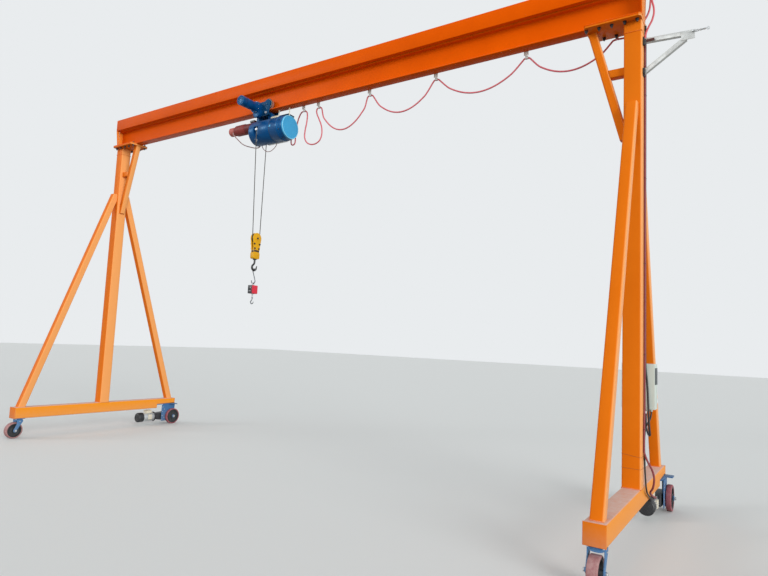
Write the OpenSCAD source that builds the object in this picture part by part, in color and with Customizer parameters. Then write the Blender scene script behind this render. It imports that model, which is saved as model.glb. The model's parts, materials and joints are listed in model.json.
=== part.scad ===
// Portable gantry crane: an I-beam girder with a box on top, on two A-shaped legs with
// driven wheels behind and swivel castors in front, and a wire-rope hoist on a trolley.
// X runs along the girder, +Y is the rear, Z is up. The origin is on the floor, midway.

/* [Girder] */
// Overall length of the girder, end plates included
girder_length = 8400; // [6000:50:12000]
// Height of the girder's underside over the floor
girder_underside = 4780; // [4000:10:6000]
// Depth of the lower I-beam
ibeam_depth = 280; // [220:10:400]
// Width of the I-beam's flanges
ibeam_width = 128; // [110:2:160]
// Thickness of the I-beam's flanges
ibeam_flange = 14; // [10:1:20]
// Thickness of the I-beam's web
ibeam_web = 9; // [6:1:14]
// Radius of the fillets between the I-beam's web and flanges
ibeam_fillet = 12; // [6:1:16]
// Width of the box on top of the I-beam
box_width = 240; // [200:5:320]
// Depth of the box on top of the I-beam
box_depth = 180; // [120:5:260]
// Plate thickness of the box
box_wall = 8; // [5:1:12]
// Thickness of the plates that close the girder's ends
end_plate = 10; // [6:1:16]

/* [Legs] */
// Distance between the centres of the two columns
column_spacing = 8230; // [5800:10:11800]
// Side of the square tube of the columns and base beams
column_size = 160; // [140:5:200]
// Wall of the square tube of the columns and base beams
column_wall = 8; // [5:1:12]
// Length of each base beam
base_length = 2750; // [2400:10:3400]
// Height of the base beams' underside over the floor
base_underside = 288; // [280:1:330]
// Side of the square tube of the front and rear braces
brace_size = 100; // [80:5:120]
// Wall of the braces' tube
brace_wall = 5; // [3:1:8]
// Distance from a base beam's end to the outer face of the brace
brace_foot_inset = 50; // [30:5:150]
// Distance from the columns' tops down to the braces' tops, which are cut off level
brace_top_drop = 811; // [500:1:1300]
// Distance that the braces' tops reach out from the columns' faces
brace_top_reach = 64; // [30:1:85]
// Side of the square tube of the knee braces
knee_size = 80; // [60:5:110]
// Wall of the knee braces' tube
knee_wall = 5; // [3:1:8]
// Slope of the knee braces, sideways over up
knee_slope = 0.27; // [0.2:0.005:0.32]
// Distance from the columns' tops down to the knee braces' lower ends
knee_drop = 1128; // [1000:2:1300]
// Distance from the columns' tops down to the short struts' centre lines
strut_drop = 458; // [380:2:540]
// Thickness of the bolted plates between the legs and the girder
head_plate = 16; // [10:1:25]
// Length of the bolted plates
head_length = 520; // [500:5:620]
// Width of the bolted plates
head_width = 320; // [290:5:380]

/* [Wheels] */
// Radius of the driven rear wheels
drive_r = 135; // [120:1:145]
// Width of the driven wheels' tyres
drive_tyre_w = 72; // [50:1:90]
// Radius of the castor wheels
castor_r = 115; // [95:1:120]
// Width of the castor wheels' tyres
castor_tyre_w = 80; // [60:1:90]
// Width of the castor forks over their cheeks
castor_fork_w = 128; // [120:1:140]
// Distance that a castor's wheel trails behind its pivot
castor_trail = 61; // [40:1:80]
// Distance of the castor's pivot from the base beam's front end
castor_inset = 100; // [90:1:200]
// Depth of the notch under the base beam's rear end
notch_depth = 70; // [40:1:90]
// Length of the notch under the base beam's rear end
notch_length = 370; // [340:5:450]
// Distance of the driven axle from the base beam's rear end
drive_inset = 75; // [70:1:120]

/* [Hoist] */
// Place of the trolley's centre along the girder
trolley_x = -740; // [-1200:10:1200]
// Distance between the trolley's axles
trolley_wheelbase = 220; // [190:5:260]
// Radius of the trolley wheels' treads
trolley_wheel_r = 67; // [50:1:80]
// Radius of the hoist's drum housing
hoist_r = 168; // [150:1:185]
// Length of the drum housing
hoist_length = 560; // [480:5:700]
// Drop from the girder's underside to the hoist's axis
hoist_drop = 290; // [270:5:340]
// Distance from the trolley's centre to the drum housing's motor end
hoist_back = 160; // [120:5:220]
// Length of the gearbox cover on the hoist's end
cover_length = 85; // [60:1:110]
// Radius of the hoist motor's body
motor_r = 76; // [60:1:84]
// Length of the hoist motor, fan cover included
motor_length = 530; // [430:5:560]
// Radius of the wire rope
rope_r = 5.5; // [4:0.5:7]
// Height of the hook block's sheave axle over the floor
sheave_z = 2985; // [2800:5:3200]
// Radius at which the rope runs on the sheave
sheave_pitch_r = 65; // [55:1:75]

/* [Festoon] */
// Radius of the festoon cable
cable_r = 9; // [6:0.5:12]
// Distance of the festoon cable from the girder's middle
cable_y = 96; // [90:1:110]

/* [Hidden] */

$fn = 64;

// Clearances: between seated pieces that move, round a shaft, and round a free wheel
seat_gap = 0.3;
shaft_gap = 0.08;
side_gap = 6;
// Clearance between flat faces that are butted and welded, for rounding of the slanted ones
weld_gap = 0.05;

orange = "#DB5A08";
blue = "#2A6FA8";
hoist_blue = "#1B5A86";
light_blue = "#48A9D8";
yellow = "#E0B020";
black = "#202224";
steel = "#B8BCC0";
tyre_red = "#9A5560";
motor_red = "#9C3B38";
cable_red = "#C8505A";
grey_green = "#C2CAC0";

left = -1;
right = 1;
leg_x = column_spacing / 2;
half_tube = column_size / 2;
girder_top_of_ibeam = girder_underside + ibeam_depth;
girder_top = girder_top_of_ibeam + box_depth;
flange_top = girder_underside + ibeam_flange;
column_top = girder_underside - 2 * head_plate;
base_top = base_underside + column_size;
base_end = base_length / 2;
brace_top = column_top - brace_top_drop;
brace_foot = base_end - brace_foot_inset;
brace_slope = (brace_foot - half_tube - brace_top_reach) / (brace_top - base_top);
knee_bottom = column_top - knee_drop;
strut_height = column_top - strut_drop;
head_outer_x = girder_length / 2;
head_inner_x = head_outer_x - head_length;

// A box given by its two opposite corners
module block(low, high) {
    translate(low) cube(high - low);
}

// A round bar along X, Y or Z, from a centre point, over a length
module bar_x(at, r, length) {
    translate(at) rotate([0, 90, 0]) cylinder(r = r, h = length);
}
module bar_y(at, r, length) {
    translate(at) rotate([-90, 0, 0]) cylinder(r = r, h = length);
}
module bar_z(at, r, length) {
    translate(at) cylinder(r = r, h = length);
}

// A plate whose outline is drawn in Y and Z, from x0 to x1
module plate_yz(x0, x1) {
    translate([x0, 0, 0]) rotate([90, 0, 90]) linear_extrude(x1 - x0) children();
}
// A plate whose outline is drawn in X and Z, from y0 to y1
module plate_xz(y0, y1) {
    translate([0, y1, 0]) rotate([90, 0, 0]) linear_extrude(y1 - y0) children();
}

// Girder

module box_girder() {
    color(orange) difference() {
        block([-head_outer_x + end_plate, -box_width / 2, girder_top_of_ibeam],
              [head_outer_x - end_plate, box_width / 2, girder_top]);
        block([-head_outer_x, -box_width / 2 + box_wall, girder_top_of_ibeam + box_wall],
              [head_outer_x, box_width / 2 - box_wall, girder_top - box_wall]);
    }
}

module i_beam() {
    half = ibeam_width / 2;
    web = ibeam_web / 2;
    z0 = girder_underside;
    z1 = girder_top_of_ibeam;
    color(orange) plate_yz(-head_outer_x + end_plate, head_outer_x - end_plate) {
        translate([-half, z0]) square([ibeam_width, ibeam_flange]);
        translate([-half, z1 - ibeam_flange]) square([ibeam_width, ibeam_flange]);
        translate([-web, z0]) square([ibeam_web, ibeam_depth]);
        for (way = [-1, 1]) translate([way * web, 0]) {
            translate([0, z0 + ibeam_flange]) fillet(way, 1);
            translate([0, z1 - ibeam_flange]) fillet(way, -1);
        }
    }
}

// The filling of an inside corner that opens towards way_y and way_z
module fillet(way_y, way_z) {
    scale([way_y, way_z]) difference() {
        square(ibeam_fillet);
        translate([ibeam_fillet, ibeam_fillet]) circle(r = ibeam_fillet);
    }
}

module end_plates() {
    color(orange) for (side = [left, right])
        plate_yz(min(side * head_outer_x, side * (head_outer_x - end_plate)),
                 max(side * head_outer_x, side * (head_outer_x - end_plate))) polygon([
            [-ibeam_width / 2, girder_underside], [ibeam_width / 2, girder_underside],
            [ibeam_width / 2, girder_top_of_ibeam], [box_width / 2, girder_top_of_ibeam],
            [box_width / 2, girder_top], [-box_width / 2, girder_top],
            [-box_width / 2, girder_top_of_ibeam], [-ibeam_width / 2, girder_top_of_ibeam]]);
}

// One bolted plate over each leg, with its corners cut off
module head_outline() {
    corner = 20;
    half = head_width / 2;
    polygon([[head_inner_x, -half + corner], [head_inner_x + corner, -half],
        [head_outer_x - corner, -half], [head_outer_x, -half + corner],
        [head_outer_x, half - corner], [head_outer_x - corner, half],
        [head_inner_x + corner, half], [head_inner_x, half - corner]]);
}

module both_sides() {
    children();
    mirror([1, 0, 0]) children();
}

module girder_plates() {
    color(orange) both_sides()
        translate([0, 0, girder_underside - head_plate]) linear_extrude(head_plate) head_outline();
}

module leg_head_plates() {
    color(orange) both_sides()
        translate([0, 0, column_top]) linear_extrude(head_plate) head_outline();
}

// Legs

module column(side) {
    color(orange) translate([side * leg_x, 0, base_top]) difference() {
        translate([-half_tube, -half_tube, 0]) cube([column_size, column_size, column_top - base_top]);
        inner = column_size - 2 * column_wall;
        translate([-inner / 2, -inner / 2, -1]) cube([inner, inner, column_top - base_top + 2]);
    }
}

// Outline of the rear brace in Y and Z, shrunk by the wall for its hollow
module brace_outline(wall) {
    run = sqrt(1 + brace_slope * brace_slope);
    foot_outer = brace_foot - wall * run;
    foot_inner = brace_foot - (brace_size - wall) * run;
    low = wall > 0 ? -20 : 0;
    z_foot = base_top + low;
    face = half_tube - (wall > 0 ? 20 : 0);
    z_cut = brace_top - wall;
    function outer_y(z) = foot_outer - (z - base_top) * brace_slope;
    function inner_y(z) = foot_inner - (z - base_top) * brace_slope;
    z_meet = base_top + (foot_inner - face) / brace_slope;
    polygon([[outer_y(z_foot), z_foot], [outer_y(z_cut), z_cut], [face, z_cut], [face, z_meet],
        [inner_y(z_foot), z_foot]]);
}

module brace(side, way) {
    x = side * leg_x;
    color(orange) scale([1, way, 1]) difference() {
        plate_yz(x - brace_size / 2, x + brace_size / 2) brace_outline(0);
        plate_yz(x - brace_size / 2 + brace_wall, x + brace_size / 2 - brace_wall)
            brace_outline(brace_wall);
    }
}

knee_run = sqrt(1 + knee_slope * knee_slope);
column_face = leg_x - half_tube;
// X of the knee brace's inner and column-side edges at a height
function knee_inner_x(z) = column_face - (z - knee_bottom) * knee_slope - knee_toe;
function knee_outer_x(z) = knee_inner_x(z) + knee_size * knee_run;
knee_toe = 40;

module knee_outline(wall) {
    reach = wall > 0 ? 20 : 0;
    shift = wall * knee_run;
    z_top = column_top + reach;
    z_low = knee_bottom + wall;
    face = column_face + reach;
    z_meet = z_low + (face - knee_outer_x(z_low) + shift) / -knee_slope;
    polygon([[knee_inner_x(z_top) + shift, z_top], [knee_outer_x(z_top) - shift, z_top],
        [face, z_meet], [face, z_low], [knee_inner_x(z_low) + shift, z_low]]);
}

module knee_brace(side) {
    color(orange) scale([side, 1, 1]) difference() {
        plate_xz(-knee_size / 2, knee_size / 2) knee_outline(0);
        plate_xz(-knee_size / 2 + knee_wall, knee_size / 2 - knee_wall) knee_outline(knee_wall);
    }
}

module knee_struts() {
    z0 = strut_height - knee_size / 2;
    z1 = strut_height + knee_size / 2;
    color(orange) both_sides() plate_xz(-knee_size / 2, knee_size / 2)
        polygon([[knee_outer_x(z0) + weld_gap, z0], [column_face, z0],
            [column_face, z1], [knee_outer_x(z1) + weld_gap, z1]]);
}

cap = 6;
notch_y = base_end - notch_length;
notch_z = base_underside + notch_depth;

// Outline of a base beam in Y and Z, with the notch under its rear end
module base_outline(wall) {
    reach = wall > 0 ? 20 : 0;
    y0 = -base_end + cap - reach;
    y1 = base_end - cap + reach;
    polygon([[y0, base_underside + wall], [notch_y - wall, base_underside + wall],
        [notch_y - wall, notch_z + wall], [y1, notch_z + wall],
        [y1, base_top - wall], [y0, base_top - wall]]);
}

module base_beam(side) {
    x = side * leg_x;
    color(orange) difference() {
        plate_yz(x - half_tube, x + half_tube) base_outline(0);
        plate_yz(x - half_tube + column_wall, x + half_tube - column_wall) base_outline(column_wall);
    }
}

module base_end_caps() {
    color(orange) for (x = [-leg_x, leg_x]) {
        block([x - half_tube, -base_end, base_underside], [x + half_tube, -base_end + cap, base_top]);
        block([x - half_tube, base_end - cap, notch_z], [x + half_tube, base_end, base_top]);
    }
}

// Driven rear wheels, on the +X side of both legs

drive_y = base_end - drive_inset;
drive_plate = 16;
drive_plate_x = half_tube + 2;
drive_wheel_x = drive_plate_x + drive_plate + side_gap + 4;
drive_axle_r = 20;
drive_top_plate = 12;
drive_box_r = 75;
drive_box_length = 315;
drive_flange_t = 12;
drive_motor_r = 80;
drive_motor_body = 215;
drive_fan_length = 95;
rim_wall = 15;
tyre_wall = 18;
tyre_bevel = 7;

module drive_brackets() {
    z_top = notch_z - drive_top_plate;
    wheel_side = drive_wheel_x + drive_tyre_w;
    color(blue) for (x = [-leg_x, leg_x]) translate([x, 0, 0]) {
        block([-half_tube + 6, notch_y + 6, z_top], [drive_plate_x + drive_plate, base_end - 4, notch_z]);
        block([drive_plate_x, drive_y - 50, z_top], [wheel_side - 12, base_end - 4, notch_z]);
        plate_yz(drive_plate_x, drive_plate_x + drive_plate) {
            polygon([[drive_y - 175, z_top], [base_end - 4, z_top], [drive_y + 60, drive_r],
                [drive_y - 60, drive_r], [drive_y - 175, drive_r + 85]]);
            translate([drive_y, drive_r]) circle(r = 60);
        }
        bar_x([drive_plate_x + drive_plate, drive_y, drive_r], drive_axle_r + 12, side_gap + 3);
        bar_x([drive_plate_x, drive_y, drive_r], drive_axle_r, wheel_side + side_gap + 8 - drive_plate_x);
        bar_x([wheel_side + side_gap, drive_y, drive_r], drive_axle_r + 8, 8);
    }
}

// Closed gearbox on the bracket's inner face, with a round end and the motor's flange
module drive_gearboxes() {
    y0 = drive_y - drive_box_length;
    color(black) for (x = [-leg_x, leg_x]) translate([x, 0, 0]) {
        plate_yz(-70, drive_plate_x) {
            translate([drive_y, drive_r]) circle(r = drive_box_r);
            translate([y0 + drive_flange_t + 55, drive_r]) circle(r = 55);
            polygon([[y0 + drive_flange_t + 55, drive_r - 55], [drive_y, drive_r - drive_box_r],
                [drive_y, drive_r + drive_box_r], [y0 + drive_flange_t + 55, drive_r + 55]]);
        }
        bar_y([0, y0 + drive_flange_t, drive_r], 45, 60);
        bar_y([0, y0, drive_r], drive_motor_r + 4, drive_flange_t);
    }
}

module drive_motors() {
    fins = 12;
    length = drive_motor_body;
    y0 = drive_y - drive_box_length - length;
    color(steel) for (x = [-leg_x, leg_x]) translate([x, y0, drive_r]) {
        bar_y([0, 0, 0], drive_motor_r - 12, length);
        for (i = [0 : fins - 1]) rotate([0, (i + 0.5) * 180 / fins, 0])
            translate([-drive_motor_r, 18, -2]) cube([2 * drive_motor_r, length - 36, 4]);
        block([-45, length / 2 - 50, drive_motor_r - 15], [45, length / 2 + 50, drive_motor_r + 32]);
    }
}

module drive_fan_covers() {
    y1 = drive_y - drive_box_length - drive_motor_body;
    edge = 20;
    color(black) for (x = [-leg_x, leg_x]) translate([x, y1, drive_r]) rotate([90, 0, 0]) rotate_extrude() {
        square([drive_motor_r + 2 - edge, drive_fan_length]);
        square([drive_motor_r + 2, drive_fan_length - edge]);
        translate([drive_motor_r + 2 - edge, drive_fan_length - edge]) circle(r = edge);
    }
}

// A spoked-looking hub with a boss, a thin web and a rim, turned about X at a point
module hub(at, bore, boss_r, boss_w, rim_r, rim_w) {
    translate(at) rotate([0, 90, 0]) rotate_extrude() {
        translate([bore, -boss_w / 2]) square([boss_r - bore, boss_w]);
        translate([boss_r - 2, -rim_w / 6]) square([rim_r - boss_r, rim_w / 3]);
        translate([rim_r - rim_wall, -rim_w / 2]) square([rim_wall, rim_w]);
    }
}

// A tyre with bevelled shoulders, turned about X at a point
module tyre(at, inner, outer, width) {
    half = width / 2;
    translate(at) rotate([0, 90, 0]) rotate_extrude() polygon([
        [inner, -half], [outer - tyre_bevel, -half], [outer, -half + tyre_bevel],
        [outer, half - tyre_bevel], [outer - tyre_bevel, half], [inner, half]]);
}

module drive_hub(side) {
    at = [side * leg_x + drive_wheel_x + drive_tyre_w / 2, drive_y, drive_r];
    color(black) hub(at, drive_axle_r + shaft_gap, 42, drive_tyre_w, drive_r - tyre_wall, drive_tyre_w - 8);
}

module drive_tyre(side) {
    at = [side * leg_x + drive_wheel_x + drive_tyre_w / 2, drive_y, drive_r];
    color(tyre_red) tyre(at, drive_r - tyre_wall + seat_gap, drive_r, drive_tyre_w);
}

// Swivel castors at the front

castor_y = -base_end + castor_inset;
castor_wheel_y = castor_y - castor_trail;
castor_plate = 8;
castor_race = 12;
castor_race_r = 48;
castor_pin_r = 10;
castor_axle_r = 10;
castor_cheek = 9;
castor_deck = 11;
fork_top = base_underside - castor_plate - castor_race - seat_gap;

// Plate, race and king pin, whose nut carries the fork when the crane is lifted
module castor_plates() {
    pin_low = fork_top - castor_deck - seat_gap;
    color(blue) for (x = [-leg_x, leg_x]) {
        block([x - 68, castor_y - 75, base_underside - castor_plate], [x + 68, castor_y + 60, base_underside]);
        bar_z([x, castor_y, fork_top + seat_gap], castor_race_r, castor_race);
        bar_z([x, castor_y, pin_low - 8], castor_pin_r, base_underside - pin_low);
        bar_z([x, castor_y, pin_low - 8], castor_pin_r + 7, 8);
    }
}

module castor_fork(side) {
    x = side * leg_x;
    half = castor_fork_w / 2;
    deck_z = fork_top - castor_deck;
    color(blue) {
        difference() {
            union() {
                bar_z([x, castor_y, deck_z], castor_race_r, castor_deck);
                block([x - half, castor_y - 46, deck_z], [x + half, castor_y + 34, deck_z + castor_deck]);
            }
            bar_z([x, castor_y, deck_z - 1], castor_pin_r + shaft_gap, castor_deck + 2);
        }
        for (x0 = [x - half, x + half - castor_cheek]) plate_yz(x0, x0 + castor_cheek) {
            polygon([[castor_y - 46, fork_top], [castor_y + 34, fork_top], [castor_y + 34, fork_top - 25],
                [castor_wheel_y + 24, castor_r + 8], [castor_wheel_y - 24, castor_r + 8],
                [castor_y - 46, fork_top - 55]]);
            translate([castor_wheel_y, castor_r]) circle(r = 26);
        }
        bar_x([x - half - 9, castor_wheel_y, castor_r], castor_axle_r, castor_fork_w + 18);
        bar_x([x - half - 9, castor_wheel_y, castor_r], castor_axle_r + 6, 9);
        bar_x([x + half, castor_wheel_y, castor_r], castor_axle_r + 6, 9);
    }
}

module castor_hub(side) {
    boss_w = castor_fork_w - 2 * castor_cheek - 2;
    color(black) hub([side * leg_x, castor_wheel_y, castor_r], castor_axle_r + shaft_gap, 24, boss_w,
        castor_r - tyre_wall, castor_tyre_w - 8);
}

module castor_tyre(side) {
    color(tyre_red) tyre([side * leg_x, castor_wheel_y, castor_r], castor_r - tyre_wall + seat_gap, castor_r,
        castor_tyre_w);
}

// Cabinet behind the right column, with its door to the rear

cabinet_bottom = 1131;
cabinet_height = 407;
cabinet_width = 280;
cabinet_depth = 150;
cabinet_side_reach = 85;
cabinet_standoff = 12;
cabinet_door = 18;

module control_cabinet() {
    x1 = leg_x + half_tube + cabinet_side_reach;
    x0 = x1 - cabinet_width;
    y0 = half_tube + cabinet_standoff;
    y_door = y0 + cabinet_depth - cabinet_door;
    z1 = cabinet_bottom + cabinet_height;
    seam = 3;
    color(grey_green) {
        block([x0, y0, cabinet_bottom], [x1, y_door - seam, z1]);
        block([x0 + 8, y_door - seam, cabinet_bottom + 8], [x1 - 8, y_door, z1 - 8]);
        block([x0, y_door, cabinet_bottom], [x1, y_door + cabinet_door, z1]);
        bar_y([x0 + 30, y_door + cabinet_door, (cabinet_bottom + z1) / 2], 9, 6);
        for (z = [cabinet_bottom + 50, z1 - 80]) block([leg_x - 60, half_tube, z], [leg_x + 60, y0, z + 30]);
        for (x = [x1 - 40, x1 - 85, x1 - 130]) bar_z([x, y0 + cabinet_depth / 2, cabinet_bottom - 22], 13, 22);
    }
}

// Arm for the supply wire: two steel angles and a gusset with a hole

arm_reach = 420;
arm_top_drop = 188;
arm_rise = -20;
arm_foot_drop = 498;
arm_angle = 40;
arm_angle_t = 5;
arm_pad = 8;
arm_hole_r = 8;
arm_x = leg_x + half_tube;
arm_tip = [arm_x + arm_reach, 0, column_top - arm_top_drop + arm_rise];

// An L-section from one point to another in the X and Z plane, upright leg at the front
module angle_bar(from, to) {
    run = to - from;
    translate(from) rotate([0, -atan2(run[2], run[0]), 0]) rotate([90, 0, 90]) linear_extrude(norm(run)) {
        translate([-arm_angle / 2, -arm_angle / 2]) square([arm_angle_t, arm_angle]);
        translate([-arm_angle / 2, -arm_angle / 2]) square([arm_angle, arm_angle_t]);
    }
}

module cable_arm() {
    top = [arm_x + arm_pad - 1, 0, column_top - arm_top_drop];
    foot = [arm_x + arm_pad - 1, 0, column_top - arm_foot_drop];
    gusset_y = -arm_angle / 2 - arm_angle_t;
    color(steel) {
        difference() {
            union() {
                angle_bar(top, arm_tip - [30, 0, 0]);
                angle_bar(foot, arm_tip - [62, 0, 46]);
            }
            block([arm_x - 60, -arm_angle, foot[2] - 60], [arm_x + 1, arm_angle, top[2] + 60]);
        }
        for (z = [top[2], foot[2]]) block([arm_x, -32, z - 34], [arm_x + arm_pad, 32, z + 34]);
        difference() {
            block([arm_tip[0] - 98, gusset_y, arm_tip[2] - 66],
                  [arm_tip[0] + 14, gusset_y + arm_angle_t + 1, arm_tip[2] + 17]);
            bar_y([arm_tip[0], gusset_y - 1, arm_tip[2]], arm_hole_r, arm_angle_t + 3);
        }
    }
}

// Shackle and turnbuckle at the arm's tip, with an eye for the supply wire
module wire_tensioner() {
    y = -arm_angle / 2 - arm_angle_t / 2;
    wire_r = 5;
    bow_r = 13;
    bow_x = 34;
    body_x = bow_x + bow_r - 8;
    eye_x = 119;
    color(steel) translate([arm_tip[0], y, arm_tip[2]]) {
        bar_y([0, -bow_r - 9, 0], arm_hole_r - seat_gap, 2 * bow_r + 18);
        for (side = [-1, 1]) bar_x([-6, side * bow_r, 0], wire_r, bow_x + 6);
        translate([bow_x, 0, 0]) rotate([0, 0, -90]) rotate_extrude(angle = 180) translate([bow_r, 0]) circle(r = wire_r);
        bar_x([body_x, 0, 0], wire_r, eye_x - body_x - 8);
        bar_x([body_x + 16, 0, 0], 9, 12);
        bar_x([eye_x - 32, 0, 0], 9, 12);
        for (side = [-1, 1]) bar_x([body_x + 16, side * 9, 0], 3, eye_x - 36 - body_x);
        difference() {
            bar_y([eye_x, -4, 0], 13, 8);
            bar_y([eye_x, -5, 0], wire_eye_r, 10);
        }
    }
}
wire_eye_r = 7;

// A round tube swept along a list of points, with one radius or one for each point.
// Each ring takes over the direction of the ring before it, so that the tube doesn't twist.
function unit(v) = v / norm(v);
function along(path, i) = unit(path[min(i + 1, len(path) - 1)] - path[max(i - 1, 0)]);
function asides(path, i, aside) = i == len(path) ? [] :
    let (way = along(path, i), next = unit(aside - (aside * way) * way))
    concat([next], asides(path, i + 1, next));
function ring(at, way, aside, r, sides) =
    [for (k = [0 : sides - 1]) at + r * (cos(360 * k / sides) * aside + sin(360 * k / sides) * cross(way, aside))];
module tube(path, r, sides = 8) {
    start = abs(along(path, 0)[2]) > 0.9 ? [0, 1, 0] : [0, 0, 1];
    aside = asides(path, 0, start);
    points = [for (i = [0 : len(path) - 1])
        each ring(path[i], along(path, i), aside[i], is_list(r) ? r[i] : r, sides)];
    last = (len(path) - 1) * sides;
    walls = [for (i = [0 : len(path) - 2]) for (k = [0 : sides - 1])
        [i * sides + (k + 1) % sides, i * sides + k, (i + 1) * sides + k, (i + 1) * sides + (k + 1) % sides]];
    ends = [[for (k = [0 : sides - 1]) k], [for (k = [sides - 1 : -1 : 0]) last + k]];
    polyhedron(points, concat(walls, ends));
}

cable_down_x = leg_x + half_tube + cable_r + seat_gap;
black_cable_r = 7;
black_down_x = leg_x + half_tube + black_cable_r + seat_gap;

// The red cable comes round the girder's end and runs down the column, and a black one beside it
// leaves the cabinet. Both swing out at the foot and end on the driven wheel's motor.
module column_cables() {
    color(cable_red) tube([
        [clamp_x + 2, clamp_y, cable_z], [3952, clamp_y, cable_z], [4020, 176, 4738], [4120, 192, 4810],
        [4200, 188, 4875], [4262, 150, 4930], [4292, 100, 4948], [4292, 62, 4890], [4276, 46, 4800],
        [4240, 44, 4690], [4210, 44, 4590], [cable_down_x, 44, 4480],
        [cable_down_x, 44, 4150], [cable_down_x, 24, 3400], [cable_down_x, 24, 760],
        [4245, 60, 650], [4285, 90, 540], [4270, 110, 450], [4236, 150, 405], [4222, 340, 330],
        [4222, 560, 280], [4205, 680, 262], [4165, 765, 240], [4140, 810, 226], [4140, 827.2, 226]], cable_r, 8);
    color(black) tube([
        [4240, 167, cabinet_bottom - 22.3], [4240, 167, 1085], [4234, 145, 1040], [4212, 76, 980], [black_down_x, 62, 900],
        [black_down_x, 62, 700], [4208, 62, 560], [4216, 75, 430], [4214, 260, 330], [4212, 520, 258],
        [4170, 640, 250], [4120, 740, 240], [4105, 810, 228], [4105, 827.2, 228]], black_cable_r, 8);
}

// Trolley

wheel_z = flange_top + trolley_wheel_r + 0.5;
wheel_flange_play = 5;
wheel_flange_h = 11;
wheel_flange_w = 9;
tread_start = ibeam_web / 2 + ibeam_fillet + 6;
tread_end = ibeam_width / 2 + wheel_flange_play;
trolley_plate_y = tread_end + wheel_flange_w + side_gap;
trolley_plate_t = 10;
trolley_axle_r = 14;
axle_end = 10;
tie_r = 14;
tie_nut_r = 23;
tie_end = 14;
tie_z = girder_underside - 50;
half_base = trolley_wheelbase / 2;
plate_top_r = 62;
plate_low_r = 34;
plate_shoulder = 40;
anchor_arm_t = 8;

// Side plate of the trolley: round over each wheel, tapered to the tie rods below
module trolley_outline() {
    for (x = [trolley_x - half_base, trolley_x + half_base]) {
        translate([x, wheel_z]) circle(r = plate_top_r);
        translate([x, tie_z]) circle(r = plate_low_r);
    }
    polygon([[trolley_x - half_base - plate_low_r, tie_z], [trolley_x + half_base + plate_low_r, tie_z],
        [trolley_x + half_base + plate_top_r, wheel_z], [trolley_x + half_base, wheel_z + plate_shoulder],
        [trolley_x - half_base, wheel_z + plate_shoulder], [trolley_x - half_base - plate_top_r, wheel_z]]);
    translate([trolley_x - half_base, tie_z - plate_low_r]) square([trolley_wheelbase, plate_low_r]);
}

module trolley_plates() {
    outer = trolley_plate_y + trolley_plate_t;
    color(hoist_blue) {
        for (y0 = [trolley_plate_y, -outer]) plate_xz(y0, y0 + trolley_plate_t) trolley_outline();
        for (x = [trolley_x - half_base, trolley_x + half_base]) {
            bar_y([x, -outer - tie_end, tie_z], tie_r, 2 * (outer + tie_end));
            for (way = [-1, 1]) {
                bar_y([x, way > 0 ? tread_start : -outer - axle_end, wheel_z], trolley_axle_r,
                    outer + axle_end - tread_start);
                bar_y([x, way > 0 ? outer : -outer - 12, tie_z], tie_nut_r, 12);
            }
        }
        block([trolley_x, outer, tie_z - 8], [anchor[0] + 20, outer + anchor_arm_t, tie_z + 16]);
        block([anchor[0] - 20, outer, tie_z + 2], [anchor[0] + 20, anchor[1] + 14, tie_z + 2 + anchor_arm_t]);
        block([anchor[0] - 16, anchor[1] - 14, anchor[2] + seat_gap], [anchor[0] + 16, anchor[1] + 14, tie_z + 4]);
    }
}

module trolley_wheel(way_x, way_y) {
    x = trolley_x + way_x * half_base;
    color(steel) scale([1, way_y, 1]) translate([x, 0, wheel_z]) rotate([-90, 0, 0]) rotate_extrude() polygon([
        [trolley_axle_r + shaft_gap, tread_start], [trolley_wheel_r - 20, tread_start],
        [trolley_wheel_r, tread_start + 4], [trolley_wheel_r, tread_end],
        [trolley_wheel_r + wheel_flange_h - 3, tread_end], [trolley_wheel_r + wheel_flange_h, tread_end + 4],
        [trolley_wheel_r + wheel_flange_h, tread_end + wheel_flange_w],
        [trolley_wheel_r - 14, tread_end + wheel_flange_w], [trolley_wheel_r - 20, tread_end],
        [trolley_axle_r + 16, tread_end], [trolley_axle_r + 12, tread_end + wheel_flange_w],
        [trolley_axle_r + shaft_gap, tread_end + wheel_flange_w]]);
}

// Motor across the girder, on a round gear housing bolted to the front plate
trolley_motor_r = 67;
trolley_motor_length = 325;
trolley_gear_r = 82;
trolley_gear_w = 62;

module trolley_drive() {
    x = trolley_x - 60;
    y0 = -trolley_plate_y - trolley_plate_t;
    z = girder_underside + 40;
    low_z = z - 78;
    y_gear = y0 - trolley_gear_w;
    color(hoist_blue) difference() {
        union() {
            bar_y([x, y_gear, z], trolley_gear_r, trolley_gear_w);
            bar_y([x + 22, y_gear + 10, low_z], 66, trolley_gear_w - 10);
            bar_y([x, y_gear - 14, z], trolley_gear_r - 6, 14);
            bar_y([x, y_gear - trolley_motor_length + 60, z], trolley_motor_r - 5, trolley_motor_length - 60);
            bar_y([x, y_gear - 180, z], trolley_motor_r - 1, 100);
            bar_y([x, y_gear - trolley_motor_length, z], trolley_motor_r, 70);
        }
        bar_y([trolley_x - half_base, y0 - axle_end - seat_gap, wheel_z], trolley_axle_r + seat_gap, 2 * axle_end);
        bar_y([trolley_x - half_base, y0 - tie_end - seat_gap, tie_z], tie_nut_r + seat_gap, 2 * tie_end);
    }
}

// Hoist

hoist_x0 = trolley_x - hoist_back;
hoist_x1 = hoist_x0 + hoist_length;
hoist_z = girder_underside - hoist_drop;
hook_x = trolley_x - 32;
rim_rise = 6;
rope_slot_depth = 30;
rope_slot_up = 40;
rope_slot_down = 80;
rope_rear_y = 80;

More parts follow.
